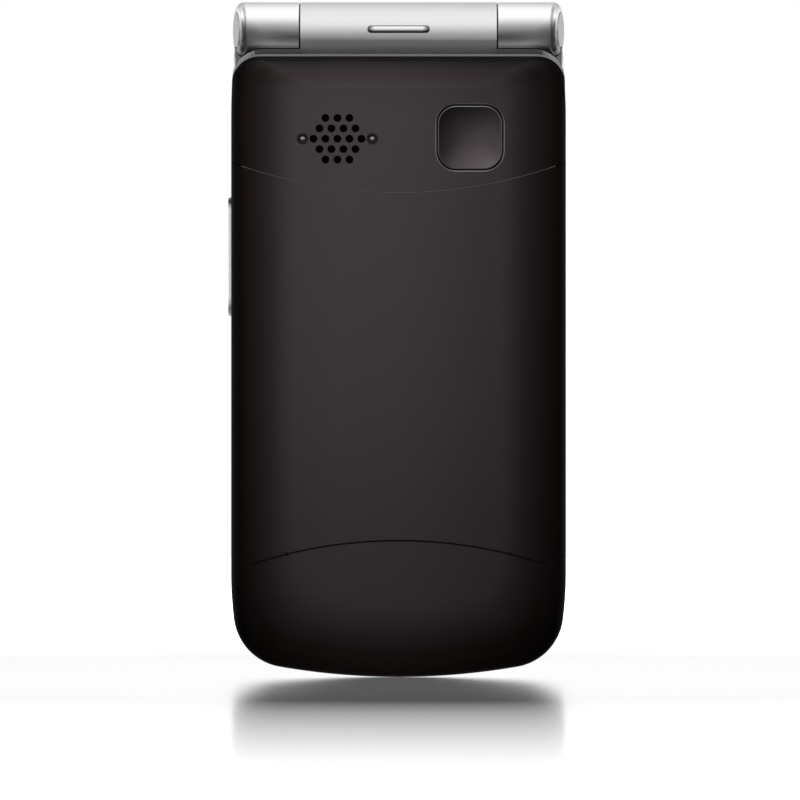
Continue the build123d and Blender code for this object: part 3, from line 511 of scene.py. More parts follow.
def pieceFrom(form, name, finishNames, sharp=None, smooth=True, recalc=True):
    # Turns a form into a piece; edges sharper than the given angle stay crisp.
    if recalc:
        bmesh.ops.recalc_face_normals(form, faces=form.faces[:])
    for face in form.faces if smooth else ():
        face.smooth = True
    for edge in form.edges if sharp else ():
        soft = len(edge.link_faces) == 2 and edge.calc_face_angle(0) < radians(sharp)
        edge.smooth = soft
    mesh = bpy.data.meshes.new(name)
    form.to_mesh(mesh)
    form.free()
    for finishName in finishNames:
        mesh.materials.append(made[finishName])
    return linked(name, mesh)


# How closely a face has to lie on the dome to be divided, moved onto it or shaded by it
domeFit = {**lengths(near=0.04, move=0.2, shade=0.03, longest=1.8), "rounds": 6,
           "slack": 3, "facing": 0.85, "shadeFacing": 0.7, "merge": 0.4e-6, "evenWeight": 100}


def onBack(face, back, reach):
    for vert in face.verts:
        if back.nearest(vert.co)[2] > reach:
            return False
    spot, normal, distance = back.nearest(face.calc_center_median())
    return distance < domeFit["slack"] * reach and face.normal.dot(normal) > domeFit["facing"]


def refineBack(form, back):
    # Divides the long triangles of the outer face and lays their points on the true dome.
    form.normal_update()
    for turn in range(domeFit["rounds"]):
        skin = [face for face in form.faces if onBack(face, back, domeFit["near"])]
        edges = {edge for face in skin for edge in face.edges
                 if edge.calc_length() > domeFit["longest"]}
        if not edges:
            break
        bmesh.ops.subdivide_edges(form, edges=list(edges), cuts=1)
        bmesh.ops.triangulate(form, faces=[f for f in form.faces if len(f.verts) > 3])
        form.normal_update()
        skin = [face for face in form.faces if onBack(face, back, domeFit["move"])]
        for vert in {vert for face in skin for vert in face.verts}:
            spot, normal, distance = back.nearest(vert.co)
            if distance < domeFit["move"]:
                vert.co = spot
        form.normal_update()


def layNormals(mesh, back):
    # Shades the outer face by the true dome, so that its triangles don't show.
    normals = [corner.vector.copy() for corner in mesh.corner_normals]
    for polygon in mesh.polygons:
        spots = [back.nearest(mesh.vertices[i].co) for i in polygon.vertices]
        if (max(spot[2] for spot in spots) <= domeFit["shade"]
                and min(spot[1].dot(polygon.normal) for spot in spots) >= domeFit["shadeFacing"]):
            for loop, spot in zip(polygon.loop_indices, spots):
                normals[loop] = spot[1]
    mesh.normals_split_custom_set(normals)


def dressed(node, name, finishNames, slot, sharp=30, pick=None, back=None):
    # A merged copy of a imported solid, with smooth shading and its finishes.
    form = bmesh.new()
    form.from_mesh(nodes[node].data)
    bmesh.ops.remove_doubles(form, verts=form.verts[:], dist=domeFit["merge"])
    for layer in list(form.loops.layers.uv.keys()):
        form.loops.layers.uv.remove(form.loops.layers.uv[layer])
    if back:
        refineBack(form, back)
    form.normal_update()
    for face in form.faces if pick else ():
        zone = pick(face.calc_center_median(), face.normal)
        face.material_index = finishNames.index(zone)
    piece = pieceFrom(form, name, finishNames, sharp, recalc=False)
    if "custom_normal" in piece.data.attributes:
        piece.data.attributes.remove(piece.data.attributes["custom_normal"])
    even = piece.modifiers.new("evenShading", "WEIGHTED_NORMAL")
    even.keep_sharp = True
    even.weight = domeFit["evenWeight"]
    settle(piece)
    if back:
        layNormals(piece.data, back)
    landed(piece, bodyOf[node], slot, (node,))


def fromAxis(place):
    # Distance from the hinge's axis.
    return hypot(place.y - hingeY, place.z - hingeZ)


# Where the frames change between silver and painted shade; the last three are shares of a normal
borders = {**lengths(gapRadius=4.85, gapTop=104, gapY=-2.7, barrelRadius=4.6, ledgeLow=100.3,
                     ledgeHigh=101.6, lipY=-3.85, lipZ=90, shoulderY=-2.5, shoulderZ=88,
                     faceY=-3.7, knuckleRadius=4.55, lidFaceY=1.3, barrelHalf=15.85),
           "upward": 0.7, "sloping": -0.4, "facing": -0.9}
frameFinishes = "silverPaint shoulderPaint blackGap ledgePaint lipPaint barrelSilver".split()
lidFinishes = "silverPaint knuckleSilver cornerSilver".split()


def frameZone(place, normal):
    # Silver, with painted shade: a darker strip below the barrel, darker lip and ledge faces, and
    # near-black painted shadow in the gaps round the knuckles and on the flat rear face.
    overhang = abs(place.x) > borders["barrelHalf"]
    if (overhang and fromAxis(place) < borders["gapRadius"] and place.z < borders["gapTop"]
            and place.y > borders["gapY"]):
        return "blackGap"
    if not overhang and fromAxis(place) < borders["barrelRadius"]:
        return "barrelSilver"
    if (borders["ledgeLow"] < place.z < borders["ledgeHigh"] and place.y < 0
            and normal.z > borders["upward"]):
        return "ledgePaint"
    if place.y < borders["lipY"] and place.z > borders["lipZ"]:
        return "lipPaint"
    if (overhang and place.z > borders["shoulderZ"] and place.y < borders["shoulderY"]
            and normal.y < borders["sloping"]):
        return "shoulderPaint"
    flat = normal.y < borders["facing"] and place.y < borders["faceY"]
    return "blackGap" if flat else "silverPaint"


# Knuckles in bright silver; the lid's flat inner face gets silver with painted shade near the
# crevices at its corners.
def lidZone(place, normal):
    if fromAxis(place) < borders["knuckleRadius"] and abs(place.x) > borders["barrelHalf"]:
        return "knuckleSilver"
    flat = normal.y < borders["facing"] and place.y < borders["lidFaceY"]
    return "cornerSilver" if flat else "silverPaint"


dressed("rear_housing", "rear_housing_skin", ["rearSatinShaded"], "black_shell", back=rearBack)
dressed("battery_cover", "battery_cover_skin", ["rearSatinShaded"], "black_shell", back=rearBack)
dressed("lid_cover", "lid_cover_skin", ["lidSatinShaded"], "black_shell", back=lidBack)
print("shells dressed")
dressed("base_frame", "base_frame_skin", frameFinishes, "silver_shell", pick=frameZone)
dressed("lid_frame", "lid_frame_skin", lidFinishes, "silver_shell", 24, lidZone)

# Node, name of its piece, finish and slot; a star stands for the sign of each key
dressedParts = [
    "hinge_caps hinge_caps_skin capSilver silver_shell",
    "volume_rocker volume_rocker_skin rockerSilver silver_key",
    "nav_rocker nav_rocker_skin silverKey black_key",
    "ok_key ok_key_skin greyKey silver_key",
    "call_key call_key_cap greenKey call_green",
    "end_key end_key_cap redKey end_red",
    "soft_key_left soft_key_left_cap greyKey black_key",
    "soft_key_right soft_key_right_cap greyKey black_key",
    "key_* key_*_cap greyKey digit_key",
    "inner_lens inner_lens_glass mainGlass window_glass",
    "outer_window outer_window_glass windowGlass window_glass",
    "camera_module camera_ring silverCap black_part",
    "bumpers bumper_feet rubber rubber",
    "usb_socket usb_shell can metal_can",
    "headset_jack headset_barrel blackPart black_part",
    "battery battery_cell cellWrap cell",
    "battery_contacts battery_springs gold gold_contact",
    "hinge_module hinge_spring_can springSteel spring_steel",
    "hinge_shaft hinge_pin springSteel spring_steel",
    "hinge_tube hinge_sleeve springSteel spring_steel",
    "flex_cable flex_ribbon amberFilm flex",
]
for row in dressedParts:
    for sign in "1 2 3 4 5 6 7 8 9 star 0 hash".split() if "*" in row else [""]:
        node, name, finishName, slot = row.replace("*", sign).split()
        dressed(node, name, [finishName], slot)
print("parts dressed:", len(dressedParts))

# Inner parts keep their solids and get their finish.
innerParts = {
    "board": "base_board lid_board", "springSteel": "dome_switches", "rubber": "keypad_sheet",
    "can": "shield_cans sim_holder main_display outer_display vibration_motor",
    "blackPart": "sos_switch volume_switches antenna microphone receiver",
    "gauze": "loudspeaker", "magnet": "lid_magnet", "screwSteel": "lid_screws"}
for finishName, names in innerParts.items():
    for node in names.split():
        materials = nodes[node].data.materials
        if not len(materials):
            materials.append(made[finishName])
        for index in range(len(materials)):
            materials[index] = made[finishName]
print("inner parts finished")


def ringed(name, rings, finishNames, body, slot, replaced=(), zones=None, caps=True,
           sharp=None, closed=False):
    # Skins a list of rings of points; a ring may be one point. zones gives each band's finish.
    form = bmesh.new()
    levels = [[form.verts.new(point) for point in ring] for ring in rings]
    count = max(len(level) for level in levels)
    following = levels[1:] + (levels[:1] if closed else [])
    zones = zones or [0] * len(levels)
    for band, (first, second) in enumerate(zip(levels, following)):
        for step in range(count):
            after = (step + 1) % count
            corners = (first[step % len(first)], first[after % len(first)],
                       second[after % len(second)], second[step % len(second)])
            face = form.faces.new(list(dict.fromkeys(corners)))
            face.material_index = zones[band]
    if caps:
        form.faces.new(levels[0]).material_index = zones[0]
        form.faces.new(levels[-1]).material_index = zones[-1]
    landed(pieceFrom(form, name, finishNames, sharp), body, slot, replaced)


def turned(name, profile, centre, finishName, body, slot, replaced=(), steps=40):
    # A round form about an axis along Y: profile is (radius, y) from the middle outwards.
    rings = []
    for radius, y in profile:
        turns = around(steps) if radius > 1e-9 else [(0, 0)]
        rings.append([(centre[0] + radius * out, y, centre[1] + radius * up) for out, up in turns])
    ringed(name, rings, [finishName], body, slot, replaced, caps=False)


def domeProfile(radius, y, height, footY, steps=8):
    # Profile of a flat dome whose top is at y + height.
    dome = [(radius * out, y + height * up) for up, out in turning(0, pi / 2, steps)]
    return dome + [(radius, footY), (0, footY)]


# Two domed pins beside the grille, each in a collar that dips towards its ball; the collar's
# near-black is painted shade round each ball
pins = {**lengths(x=-9.82, z=86.7, apart=5.6, ball=0.4, proud=0.25, sunk=0.15, faceY=-9.5),
        "ballSteps": 24, "collar": [(0, 0.12), (0.32, 0.12), (0.68, -0.1), (0.782, -0.12),
                                    (0.85, -0.05), (0.85, 0.8), (0, 0.8)]}
collarProfile = [(radius * mm, pins["faceY"] + y * mm) for radius, y in pins["collar"]]
ballProfile = domeProfile(pins["ball"], pins["faceY"], -pins["proud"],
                          pins["faceY"] + pins["sunk"])
for number, side, replaced in (("1", -1, ("grille_nubs",)), ("2", 1, ())):
    middle = (pins["x"] + side * pins["apart"], pins["z"])
    turned("grille_pin_collar_" + number, collarProfile, middle, "pinCollarShade", "base",
           "black_part", replaced)
    turned("grille_pin_ball_" + number, ballProfile, middle, "pinBall", "base", "black_part",
           steps=pins["ballSteps"])

# Emergency key with a dished top and a polished edge, and the edge of its opening; the key's sides
# and the opening's walls are in painted shadow
keyEdge = {**lengths(x=11.5, z=86.9, width=11.06, height=10.9, corner=3.3, groove=0.37,
                     chamfer=0.14, drop=0.06, dish=0.5, faceY=-9.5, keyY=-9.45, footY=-8.45),
           "rings": 14, "middle": 0.02, "cornerSteps": 12, "sharp": 32,
           "opening": [(0.12, 0.9), (0.12, 0.06), (-0.02, -0.015), (-0.05, 0.01), (-0.05, 0.9),
                       (0.12, 0.9)]}


def roundedRing(inset, y, share=1.0):
    # Points of the key's rounded square, drawn inset and then scaled about its middle.
    points = []
    corner = keyEdge["corner"] - inset
    halfX = keyEdge["width"] / 2 - keyEdge["corner"]
    halfZ = keyEdge["height"] / 2 - keyEdge["corner"]
    for quarter, (sideX, sideZ) in enumerate(((1, 1), (-1, 1), (-1, -1), (1, -1))):
        start = pi / 2 * quarter
        for out, up in turning(start, start + pi / 2, keyEdge["cornerSteps"]):
            points.append((keyEdge["x"] + share * (sideX * halfX + corner * out), y,
                           keyEdge["z"] + share * (sideZ * halfZ + corner * up)))
    return points


keyRings = []
for step in range(keyEdge["rings"] + 1):
    share = keyEdge["middle"] + (1 - keyEdge["middle"]) * step / keyEdge["rings"]
    y = keyEdge["keyY"] + keyEdge["dish"] * (1 - share**2)
    keyRings.append(roundedRing(keyEdge["groove"] + keyEdge["chamfer"], y, share))
keyRings.append(roundedRing(keyEdge["groove"], keyEdge["keyY"] + keyEdge["drop"]))
keyRings.append(roundedRing(keyEdge["groove"], keyEdge["footY"]))
ringed("sos_key_top", keyRings, ["keyLacquerShaded", "polishedEdge", "blackGap"], "sos_key",
       "black_key", ("sos_key",), [0] * keyEdge["rings"] + [1, 2], sharp=keyEdge["sharp"])
openingRings = [roundedRing(inset * mm, keyEdge["faceY"] + drop * mm)
                for inset, drop in keyEdge["opening"]]
ringed("sos_opening_edge", openingRings, ["blackGap", "polishedEdge"], "base", "black_shell",
       zones=[0, 1, 1, 0, 0], caps=False, sharp=keyEdge["sharp"])

# Fine bead along the cover's upper arc
coverEdge = {**lengths(centre=153.6, radius=75.59, reach=25.3, bead=0.083, sink=0.02),
             "steps": 90, "sides": 8}


def alongArc(arc, bend):
    # Points (share, x, z) of an arc across the cover, and the dome's own point and normal.
    for step in range(arc["steps"] + 1):
        share = 2 * step / arc["steps"] - 1
        x = arc["reach"] * share
        z = arc["centre"] + bend * sqrt(arc["radius"] ** 2 - x * x)
        yield share, x, z, *rearBack.over(x, z)


path = [spot - normal * coverEdge["sink"] for *_, spot, normal in alongArc(coverEdge, -1)]
beadRings = []
for index, point in enumerate(path):
    along = (path[min(index + 1, len(path) - 1)] - path[max(index - 1, 0)]).normalized()
    sideways = along.cross(Vector((0, 1, 0))).normalized() * coverEdge["bead"]
    outwards = sideways.cross(along)
    beadRings.append([point + sideways * c + outwards * s for c, s in around(coverEdge["sides"])])
ringed("battery_cover_edge", beadRings, ["arcEdge"], "battery_cover", "black_shell")

# Painted shadow: a dark floor in the arc groove low on the cover
coverArc = {**lengths(centre=-52.94, radius=75, reach=24.3, half=0.09, endHalf=0.08, proud=0.008,
                      sink=0.32), "steps": 96, "sharp": 32}
arcRings = []
for share, x, z, spot, normal in alongArc(coverArc, 1):
    half = coverArc["half"] + (coverArc["endHalf"] - coverArc["half"]) * share**4
    across = Vector((x, 0, z - coverArc["centre"]))
    across = (across - normal * across.dot(normal)).normalized() * half
    top, foot = spot + normal * coverArc["proud"], spot - normal * coverArc["sink"]
    arcRings.append([top + across, top - across, foot - across, foot + across])
ringed("battery_cover_groove", arcRings, ["grooveShade"], "battery_cover", "black_shell",
       sharp=coverArc["sharp"])

# Indicator bead in the barrel
pill = {**lengths(halfLength=5.0, halfHeight=0.57, proud=0.22, z=104.5, faceY=-3.5, depth=0.5),
        "rounds": 8, "endSteps": 12}


def pillRing(height, y):
    straight = pill["halfLength"] - pill["halfHeight"]
    ring = []
    for side, start in ((1, -pi / 2), (-1, pi / 2)):
        for out, up in turning(start, start + pi, pill["endSteps"]):
            ring.append((side * straight + height * out, y, pill["z"] + height * up))
    return ring


pillRings = [pillRing(pill["halfHeight"], pill["faceY"] + pill["depth"])]
for flat, proud in turning(0, pi / 2, pill["rounds"])[:-1]:
    pillRings.append(pillRing(pill["halfHeight"] * flat, pill["faceY"] - pill["proud"] * proud))
ringed("indicator_bead", pillRings, ["lightPipe"], "base", "indicator", ("indicator_lens",))

# Black collar of the headset socket, flush with the side
socket = {**lengths(y=-2.9, z=94.3, inner=1.77, outer=2.53, footX=26.62, limitX=26.99, sunk=0.01,
                    rayX=50), "steps": 48, "sharp": 32}


def sideSurface(y, z):
    if y < rearShell["start"] * mm:
        start = Vector((socket["rayX"], y, z))
        return rearBack.tree.ray_cast(start, Vector((-1, 0, 0)))[0].x
    rise = z / mm - phone["taperHeight"]
    middle = phone["halfWidth"] - phone["taperRadius"]
    return (middle + sqrt(phone["taperRadius"] ** 2 - max(rise, 0) ** 2)) * mm


collarRings = []
for radius, atFoot in ((socket["inner"], True), (socket["inner"], False),
                       (socket["outer"], False), (socket["outer"], True)):
    ring = []
    for out, up in around(socket["steps"]):
        y, z = socket["y"] + radius * out, socket["z"] + radius * up
        x = socket["footX"] if atFoot else sideSurface(y, z) - socket["sunk"]
        ring.append(Vector((min(x, socket["limitX"]), y, z)))
    collarRings.append(ring)
ringed("headset_collar", collarRings, ["gauze"], "base", "black_part", caps=False,
       sharp=socket["sharp"], closed=True)

# Painted shadow: dark faces in the two gaps between the barrel and the knuckles
gapFace = {**lengths(near=15.84, far=16.04, outer=4.3, inner=3.2), "steps": 48, "sharp": 32}
for number, side in (("1", -1), ("2", 1)):
    corners = (("near", "inner"), ("far", "inner"), ("far", "outer"), ("near", "outer"))
    rings = [[(side * gapFace[x], hingeY + gapFace[radius] * out,
               hingeZ + gapFace[radius] * up)
              for out, up in around(gapFace["steps"])] for x, radius in corners]
    ringed("barrel_end_" + number, rings, ["blackGap"], "base", "silver_shell", caps=False,
           sharp=gapFace["sharp"])

# Camera glass inside the ring
camera = lengths(z=86.5, radius=2.25, y=9.0, dome=0.18, sunk=0.1)
glassProfile = domeProfile(camera["radius"], camera["y"], camera["dome"],
                           camera["y"] - camera["sunk"])
turned("camera_glass", glassProfile, (0, camera["z"]), "cameraGlass", "lid", "window_glass")
print("small pieces built")


# Geometry-node trees: woven gauze and pan-head screws
treeShape = {"wireSides": 6, "headSides": 32, "headTaper": 0.82, "driveLift": 1.1,
             "shankSides": 20}


def groupTree(name, inputs):
    # The inputs are numbers, apart from those named place and finish.
    kinds = {"place": "NodeSocketVector", "finish": "NodeSocketMaterial"}
    tree = bpy.data.node_groups.new(name, "GeometryNodeTree")
    tree.is_modifier = True
    tree.interface.new_socket("Geometry", in_out="INPUT", socket_type="NodeSocketGeometry")
    for label in inputs:
        kind = kinds.get(label, "NodeSocketFloat")
        tree.interface.new_socket(label, in_out="INPUT", socket_type=kind)
    tree.interface.new_socket("Geometry", in_out="OUTPUT", socket_type="NodeSocketGeometry")
    return tree, tree.nodes.new("NodeGroupInput").outputs, tree.nodes.new("NodeGroupOutput")


def shapeNode(source, kind, values=None, **settings):
    return addNode(source, kind, values, "GeometryNode", **settings)


def vector(tree, x=0.0, y=0.0, z=0.0):
    return addNode(tree, "CombineXYZ", {0: x, 1: y, 2: z}).outputs[0]


def moved(geometry, offset):
    values = {"Geometry": geometry, "Translation": offset}
    return shapeNode(geometry, "Transform", values).outputs[0]


def joined(*parts):
    node = shapeNode(parts[0], "JoinGeometry")
    for part in parts:
        node.id_data.links.new(part, node.inputs[0])
    return node.outputs[0]


def repeated(points, instance, rotation, scale=(1, 1, 1)):
    values = {"Points": points, "Instance": instance, "Rotation": rotation, "Scale": scale}
    return shapeNode(points, "InstanceOnPoints", values).outputs["Instances"]


def coated(geometry, entry, out):
    real = shapeNode(geometry, "RealizeInstances", {0: geometry})
    coat = shapeNode(geometry, "SetMaterial", {
        "Geometry": real.outputs[0], "Material": entry["finish"]})
    out.id_data.links.new(coat.outputs[0], out.inputs[0])


def wireRow(tree, entry, acrossName, alongName, axis, turn):
    # One set of parallel wires, cut to the round or rectangular outline.
    reach = entry[acrossName]
    start = vector(tree, **{axis: times(reach, -1.0)})
    end = vector(tree, **{axis: reach})
    gaps = maths("DIVIDE", times(reach, 2.0), entry["pitch"])
    values = {"Count": maths("ADD", gaps, 1.0), "Start Location": start, "Offset": end}
    line = shapeNode(tree, "MeshLine", values, mode="END_POINTS", count_mode="TOTAL")
    spot = axes(shapeNode(tree, "InputPosition").outputs[0])[axis.upper()]
    circle = times(entry["round"], entry["round"])
    room = maths("MAXIMUM", maths("SUBTRACT", circle, times(spot, spot)), 0.0)
    half = maths("MINIMUM", maths("SQRT", room), entry[alongName])
    scale = vector(tree, 1.0, 1.0, times(half, 2.0))
    wire = shapeNode(tree, "MeshCylinder", {
        "Vertices": treeShape["wireSides"], "Radius": entry["wire"], "Depth": 1.0})
    return repeated(line.outputs["Mesh"], wire.outputs["Mesh"], turn, scale)


def gauzeTree():
    tree, entry, out = groupTree("wovenGauze", slotMesh)
    upright = wireRow(tree, entry, "halfWidth", "halfHeight", "x", (0, 0, 0))
    level = wireRow(tree, entry, "halfHeight", "halfWidth", "z", (0, pi / 2, 0))
    both = joined(upright, moved(level, vector(tree, y=entry["wire"])))
    coated(moved(both, entry["place"]), entry, out)
    return tree


def screwTree():
    tree, entry, out = groupTree("panScrew", screws)
    height = entry["headHeight"]
    head = shapeNode(tree, "MeshCone", {
        "Vertices": treeShape["headSides"],
        "Radius Top": times(entry["headRadius"], treeShape["headTaper"]),
        "Radius Bottom": entry["headRadius"], "Depth": height})
    cut = shapeNode(tree, "MeshBoolean", {"Mesh 1": head.outputs["Mesh"]},
                  operation="DIFFERENCE", solver="EXACT")
    for wide, narrow in (("driveReach", "driveWidth"), ("driveWidth", "driveReach")):
        size = vector(tree, entry[wide], entry[narrow], height)
        cube = shapeNode(tree, "MeshCube", {"Size": size})
        lift = vector(tree, z=times(height, treeShape["driveLift"]))
        tree.links.new(moved(cube.outputs["Mesh"], lift), cut.inputs["Mesh 2"])
    shank = shapeNode(tree, "MeshCylinder", {
        "Vertices": treeShape["shankSides"], "Radius": entry["shankRadius"],
        "Depth": entry["shankLength"]})
    drop = vector(tree, z=times(entry["shankLength"], -0.5))
    whole = joined(cut.outputs["Mesh"], moved(shank.outputs["Mesh"], drop))
    coated(repeated(entry["Geometry"], whole, (pi / 2, 0, 0)), entry, out)
    return tree


def grown(name, tree, values, body, slot, replaced=(), points=((0, 0, 0),)):
    # Runs a tree on a few points and keeps the result as a plain mesh.
    mesh = bpy.data.meshes.new(name)
    mesh.from_pydata([Vector(point) for point in points], [], [])
    piece = linked(name, mesh)
    modifier = piece.modifiers.new("shape", "NODES")
    modifier.node_group = tree
    for item in tree.interface.items_tree:
        if item.in_out == "INPUT" and item.name in values:
            modifier[item.identifier] = values[item.name]
    landed(settle(piece), body, slot, replaced)


speakerMesh = {
    **lengths(halfWidth=5.05, halfHeight=5.05, round=5.1, pitch=0.3, wire=0.05),
    "place": (-9.82 * mm, -8.3 * mm, 86.7 * mm), "finish": made["gauze"]}
slotMesh = {
    **lengths(halfWidth=4.45, halfHeight=0.55, round=50, pitch=0.22, wire=0.04),
    "place": (0, 1.9 * mm, 11.5 * mm), "finish": made["gauze"]}
screws = {
    **lengths(headRadius=1.25, headHeight=0.8, driveReach=1.5, driveWidth=0.32,
              shankRadius=0.65, shankLength=3.75), "finish": made["screwSteel"]}
screwPlaces = lengths(x=23.2, low=14.0, high=54.0, y=-5.0)
weave = gauzeTree()
grown("speaker_gauze", weave, speakerMesh, "base", "metal_can", ("speaker_mesh",))
grown("receiver_gauze", weave, slotMesh, "lid", "metal_can")
screwPoints = [(x, screwPlaces["y"], z) for x in (-screwPlaces["x"], screwPlaces["x"])
               for z in (screwPlaces["low"], screwPlaces["high"])]
grown("base_screw_set", screwTree(), screws, "base", "screw_steel", ("base_screws",), screwPoints)
print("gauze and screws grown")

# Marks on the keys. The keypad is read from +Y with Z up, so text runs towards -X.
marks = {**lengths(faceY=1.0, lift=0.012, thick=0.02, digitSize=5.0, letterSize=2.1, aside=2.4,
                   letterDrop=0.4, pitchX=14.2, pitchZ=10.6, lowZ=12.0, oneHeight=3.6, callZ=56.4,
                   handset=2.2, softX=15.3, softZ=75.3, dashHalf=1.8, dashThick=0.25, navZ=67.4,
                   navY=0.8, arrowUp=6.2, arrowSide=6.6, arrowTip=0.7, arrowHalf=0.9, okRadius=1.1,
                   merge=0.0001), "curveSteps": 4, "okSteps": 24}
letters = {"2": "abc", "3": "def", "4": "ghi", "5": "jkl", "6": "mno", "7": "pqrs", "8": "tuv",
           "9": "wxyz", "0": "+"}


def printed(name, parts, body):
    # parts: (text, x, z, size).
    form = bmesh.new()
    for text, x, z, size in parts:
        curve = bpy.data.curves.new(name, "FONT")
        curve.body = text
        curve.size = size
        curve.align_x = curve.align_y = "CENTER"
        curve.extrude = marks["thick"] / 2
        curve.resolution_u = marks["curveSteps"]
        holder = linked(name + "_text", curve)
        mesh = baked(holder)
        mesh.transform(Matrix(((-1, 0, 0, x), (0, 0, 1, marks["faceY"] + marks["lift"]),
                               (0, 1, 0, z), (0, 0, 0, 1))))
        form.from_mesh(mesh)
        bpy.data.objects.remove(holder)
        bpy.data.curves.remove(curve)
        bpy.data.meshes.remove(mesh)
    bmesh.ops.remove_doubles(form, verts=form.verts[:], dist=marks["merge"])
    piece = pieceFrom(form, name, ["palePrint"], smooth=False, recalc=False)
    landed(piece, body, "digit_key")


rows = (("star", "0", "hash"), ("7", "8", "9"), ("4", "5", "6"), ("1", "2", "3"))
for row, names in enumerate(rows):
    for column, sign in enumerate(names):
        x = (1 - column) * marks["pitchX"]
        z = marks["lowZ"] + row * marks["pitchZ"]
        text = {"star": "*", "hash": "#"}.get(sign, sign)
        parts = [(text, x, z, marks["digitSize"])]
        if sign in letters:
            parts = [(text, x + marks["aside"], z, marks["digitSize"]),
                     (letters[sign], x - marks["aside"], z - marks["letterDrop"],
                      marks["letterSize"])]
        if sign != "1":
            printed("mark_" + sign, parts, "key_" + sign)


def flatMark(name, outlines, body, y=marks["faceY"], ink="palePrint"):
    # A flat sign from closed outlines of (x, z) points.
    form = bmesh.new()
    for points in outlines:
        face = form.faces.new([form.verts.new((x, y + marks["lift"], z)) for x, z in points])
        face.normal_update()
        if face.normal.y < 0:
            face.normal_flip()
    for item in bmesh.ops.extrude_face_region(form, geom=form.faces[:])["geom"]:
        if isinstance(item, bmesh.types.BMVert):
            item.co.y += marks["thick"]
    landed(pieceFrom(form, name, [ink], smooth=False), body, "digit_key")


def bow(radius, start, end, steps):
    pairs = turning(radians(start), radians(end), steps)
    return [(out * radius, up * radius) for out, up in pairs]


# A bent bar with two blocks at its ends, and a 1 with a short flag, both of about unit size
handsetForm = [
    *bow(1, 150, 30, 8), (1.1, 0.28), (1.04, -0.04), (0.5, -0.04), (0.46, 0.34),
    *bow(0.62, 40, 140, 6), (-0.46, 0.34), (-0.5, -0.04), (-1.04, -0.04), (-1.1, 0.28)]
oneForm = [(-0.075, -0.5), (-0.075, 0.5), (0.045, 0.5), (0.3, 0.26), (0.225, 0.14), (0.075, 0.302),
           (0.075, -0.5)]
dashForm = [(-1, -1), (1, -1), (1, 1), (-1, 1)]


def placed(form, x, z, sizeX, sizeZ, tilt=0, rise=0):
    # The form's points, sized, turned and moved; rise lifts them before the turn.
    turn = radians(tilt)
    points = [(px * sizeX, (pz + rise) * sizeZ) for px, pz in form]
    return [(x + px * cos(turn) - pz * sin(turn), z + px * sin(turn) + pz * cos(turn))
            for px, pz in points]


oneZ, tall = marks["lowZ"] + 3 * marks["pitchZ"], marks["oneHeight"]
flatMark("mark_1", [placed(oneForm, marks["pitchX"], oneZ, tall, tall)], "key_1")
for name, x, tilt in (("call", marks["pitchX"], -135), ("end", -marks["pitchX"], 0)):
    size = marks["handset"]
    sign = placed(handsetForm, x, marks["callZ"], size, size, tilt, -0.5)
    flatMark("mark_" + name, [sign], name + "_key")
for side, x in (("left", marks["softX"]), ("right", -marks["softX"])):
    dash = placed(dashForm, x, marks["softZ"], marks["dashHalf"], marks["dashThick"])
    flatMark("mark_soft_" + side, [dash], "soft_key_" + side)
arrows = []
for turnX, turnZ in ((0, 1), (0, -1), (1, 0), (-1, 0)):
    reach = marks["arrowUp"] if turnZ else marks["arrowSide"]
    tip = reach + marks["arrowTip"]
    baseX, baseZ, half = turnX * reach, marks["navZ"] + turnZ * reach, marks["arrowHalf"]
    arrows.append([(turnX * tip, marks["navZ"] + turnZ * tip),
                   (baseX - turnZ * half, baseZ + turnX * half),
                   (baseX + turnZ * half, baseZ - turnX * half)])
flatMark("mark_nav", arrows, "nav_rocker", marks["navY"], "greyKey")
dot, okTurn = marks["okRadius"], around(marks["okSteps"])
flatMark("mark_ok", [[(dot * x, marks["navZ"] + dot * z) for x, z in okTurn]], "ok_key")
print("key marks printed")

# Floor of pale paper under a sheet of clear acrylic, whose gloss shows most at a low angle
floorLook = {
    "half": 1.5, "paper": 0.86, "rough": 0.13, "ior": 2.0, "gloss": 1.15,
    "nearPhone": [(0.0, 1.0), (0.16, 1.0), (0.24, 0.75), (0.42, 0.35), (0.6, 0.1), (1.0, 0.0)],
    "farGlow": [(0.0, 0.09), (0.1, 0.08), (0.16, 0.06), (0.24, 0.14), (0.42, 0.31), (0.6, 0.52),
                (1.0, 1.0)]}


def mixShader(share, first, second):
    return addNode(first, "MixShader", {0: share, 1: first, 2: second}).outputs[0]


floorMesh = bpy.data.meshes.new("floor")
half = floorLook["half"]
floorMesh.from_pydata([(-half, -half, 0), (half, -half, 0), (half, half, 0), (-half, half, 0)], [],
                      [(0, 1, 2, 3)])
floor = linked("floor", floorMesh)
floor.visible_glossy = False
floorMaterial = bpy.data.materials.new("floorPaper")
floorMaterial.use_nodes = True
floorMesh.materials.append(floorMaterial)
tree = floorMaterial.node_tree
tree.nodes.clear()
paper = addNode(tree, "BsdfDiffuse", {"Color": tone(floorLook["paper"])})
gloss = addNode(tree, "BsdfAnisotropic", {
    "Color": tone(1.0), "Roughness": floorLook["rough"]})
apart = addNode(tree, "VectorMath", {0: objectPlace(tree)}, operation="LENGTH")
fresnel = addNode(tree, "Fresnel", {"IOR": floorLook["ior"]})
nearPhone = ramp(apart.outputs["Value"], floorLook["nearPhone"])
share = times(times(fresnel.outputs[0], floorLook["gloss"]), nearPhone)
sheen = mixShader(share, paper.outputs[0], gloss.outputs[0])
farGlow = ramp(apart.outputs["Value"], floorLook["farGlow"])
rayKind = addNode(tree, "LightPath").outputs
lit = addNode(tree, "Emission", {
    "Color": tone(1.0), "Strength": times(rayKind["Is Camera Ray"], farGlow)})
total = addNode(tree, "AddShader", {0: sheen, 1: lit.outputs[0]})
addNode(tree, "OutputMaterial", {"Surface": total.outputs[0]})

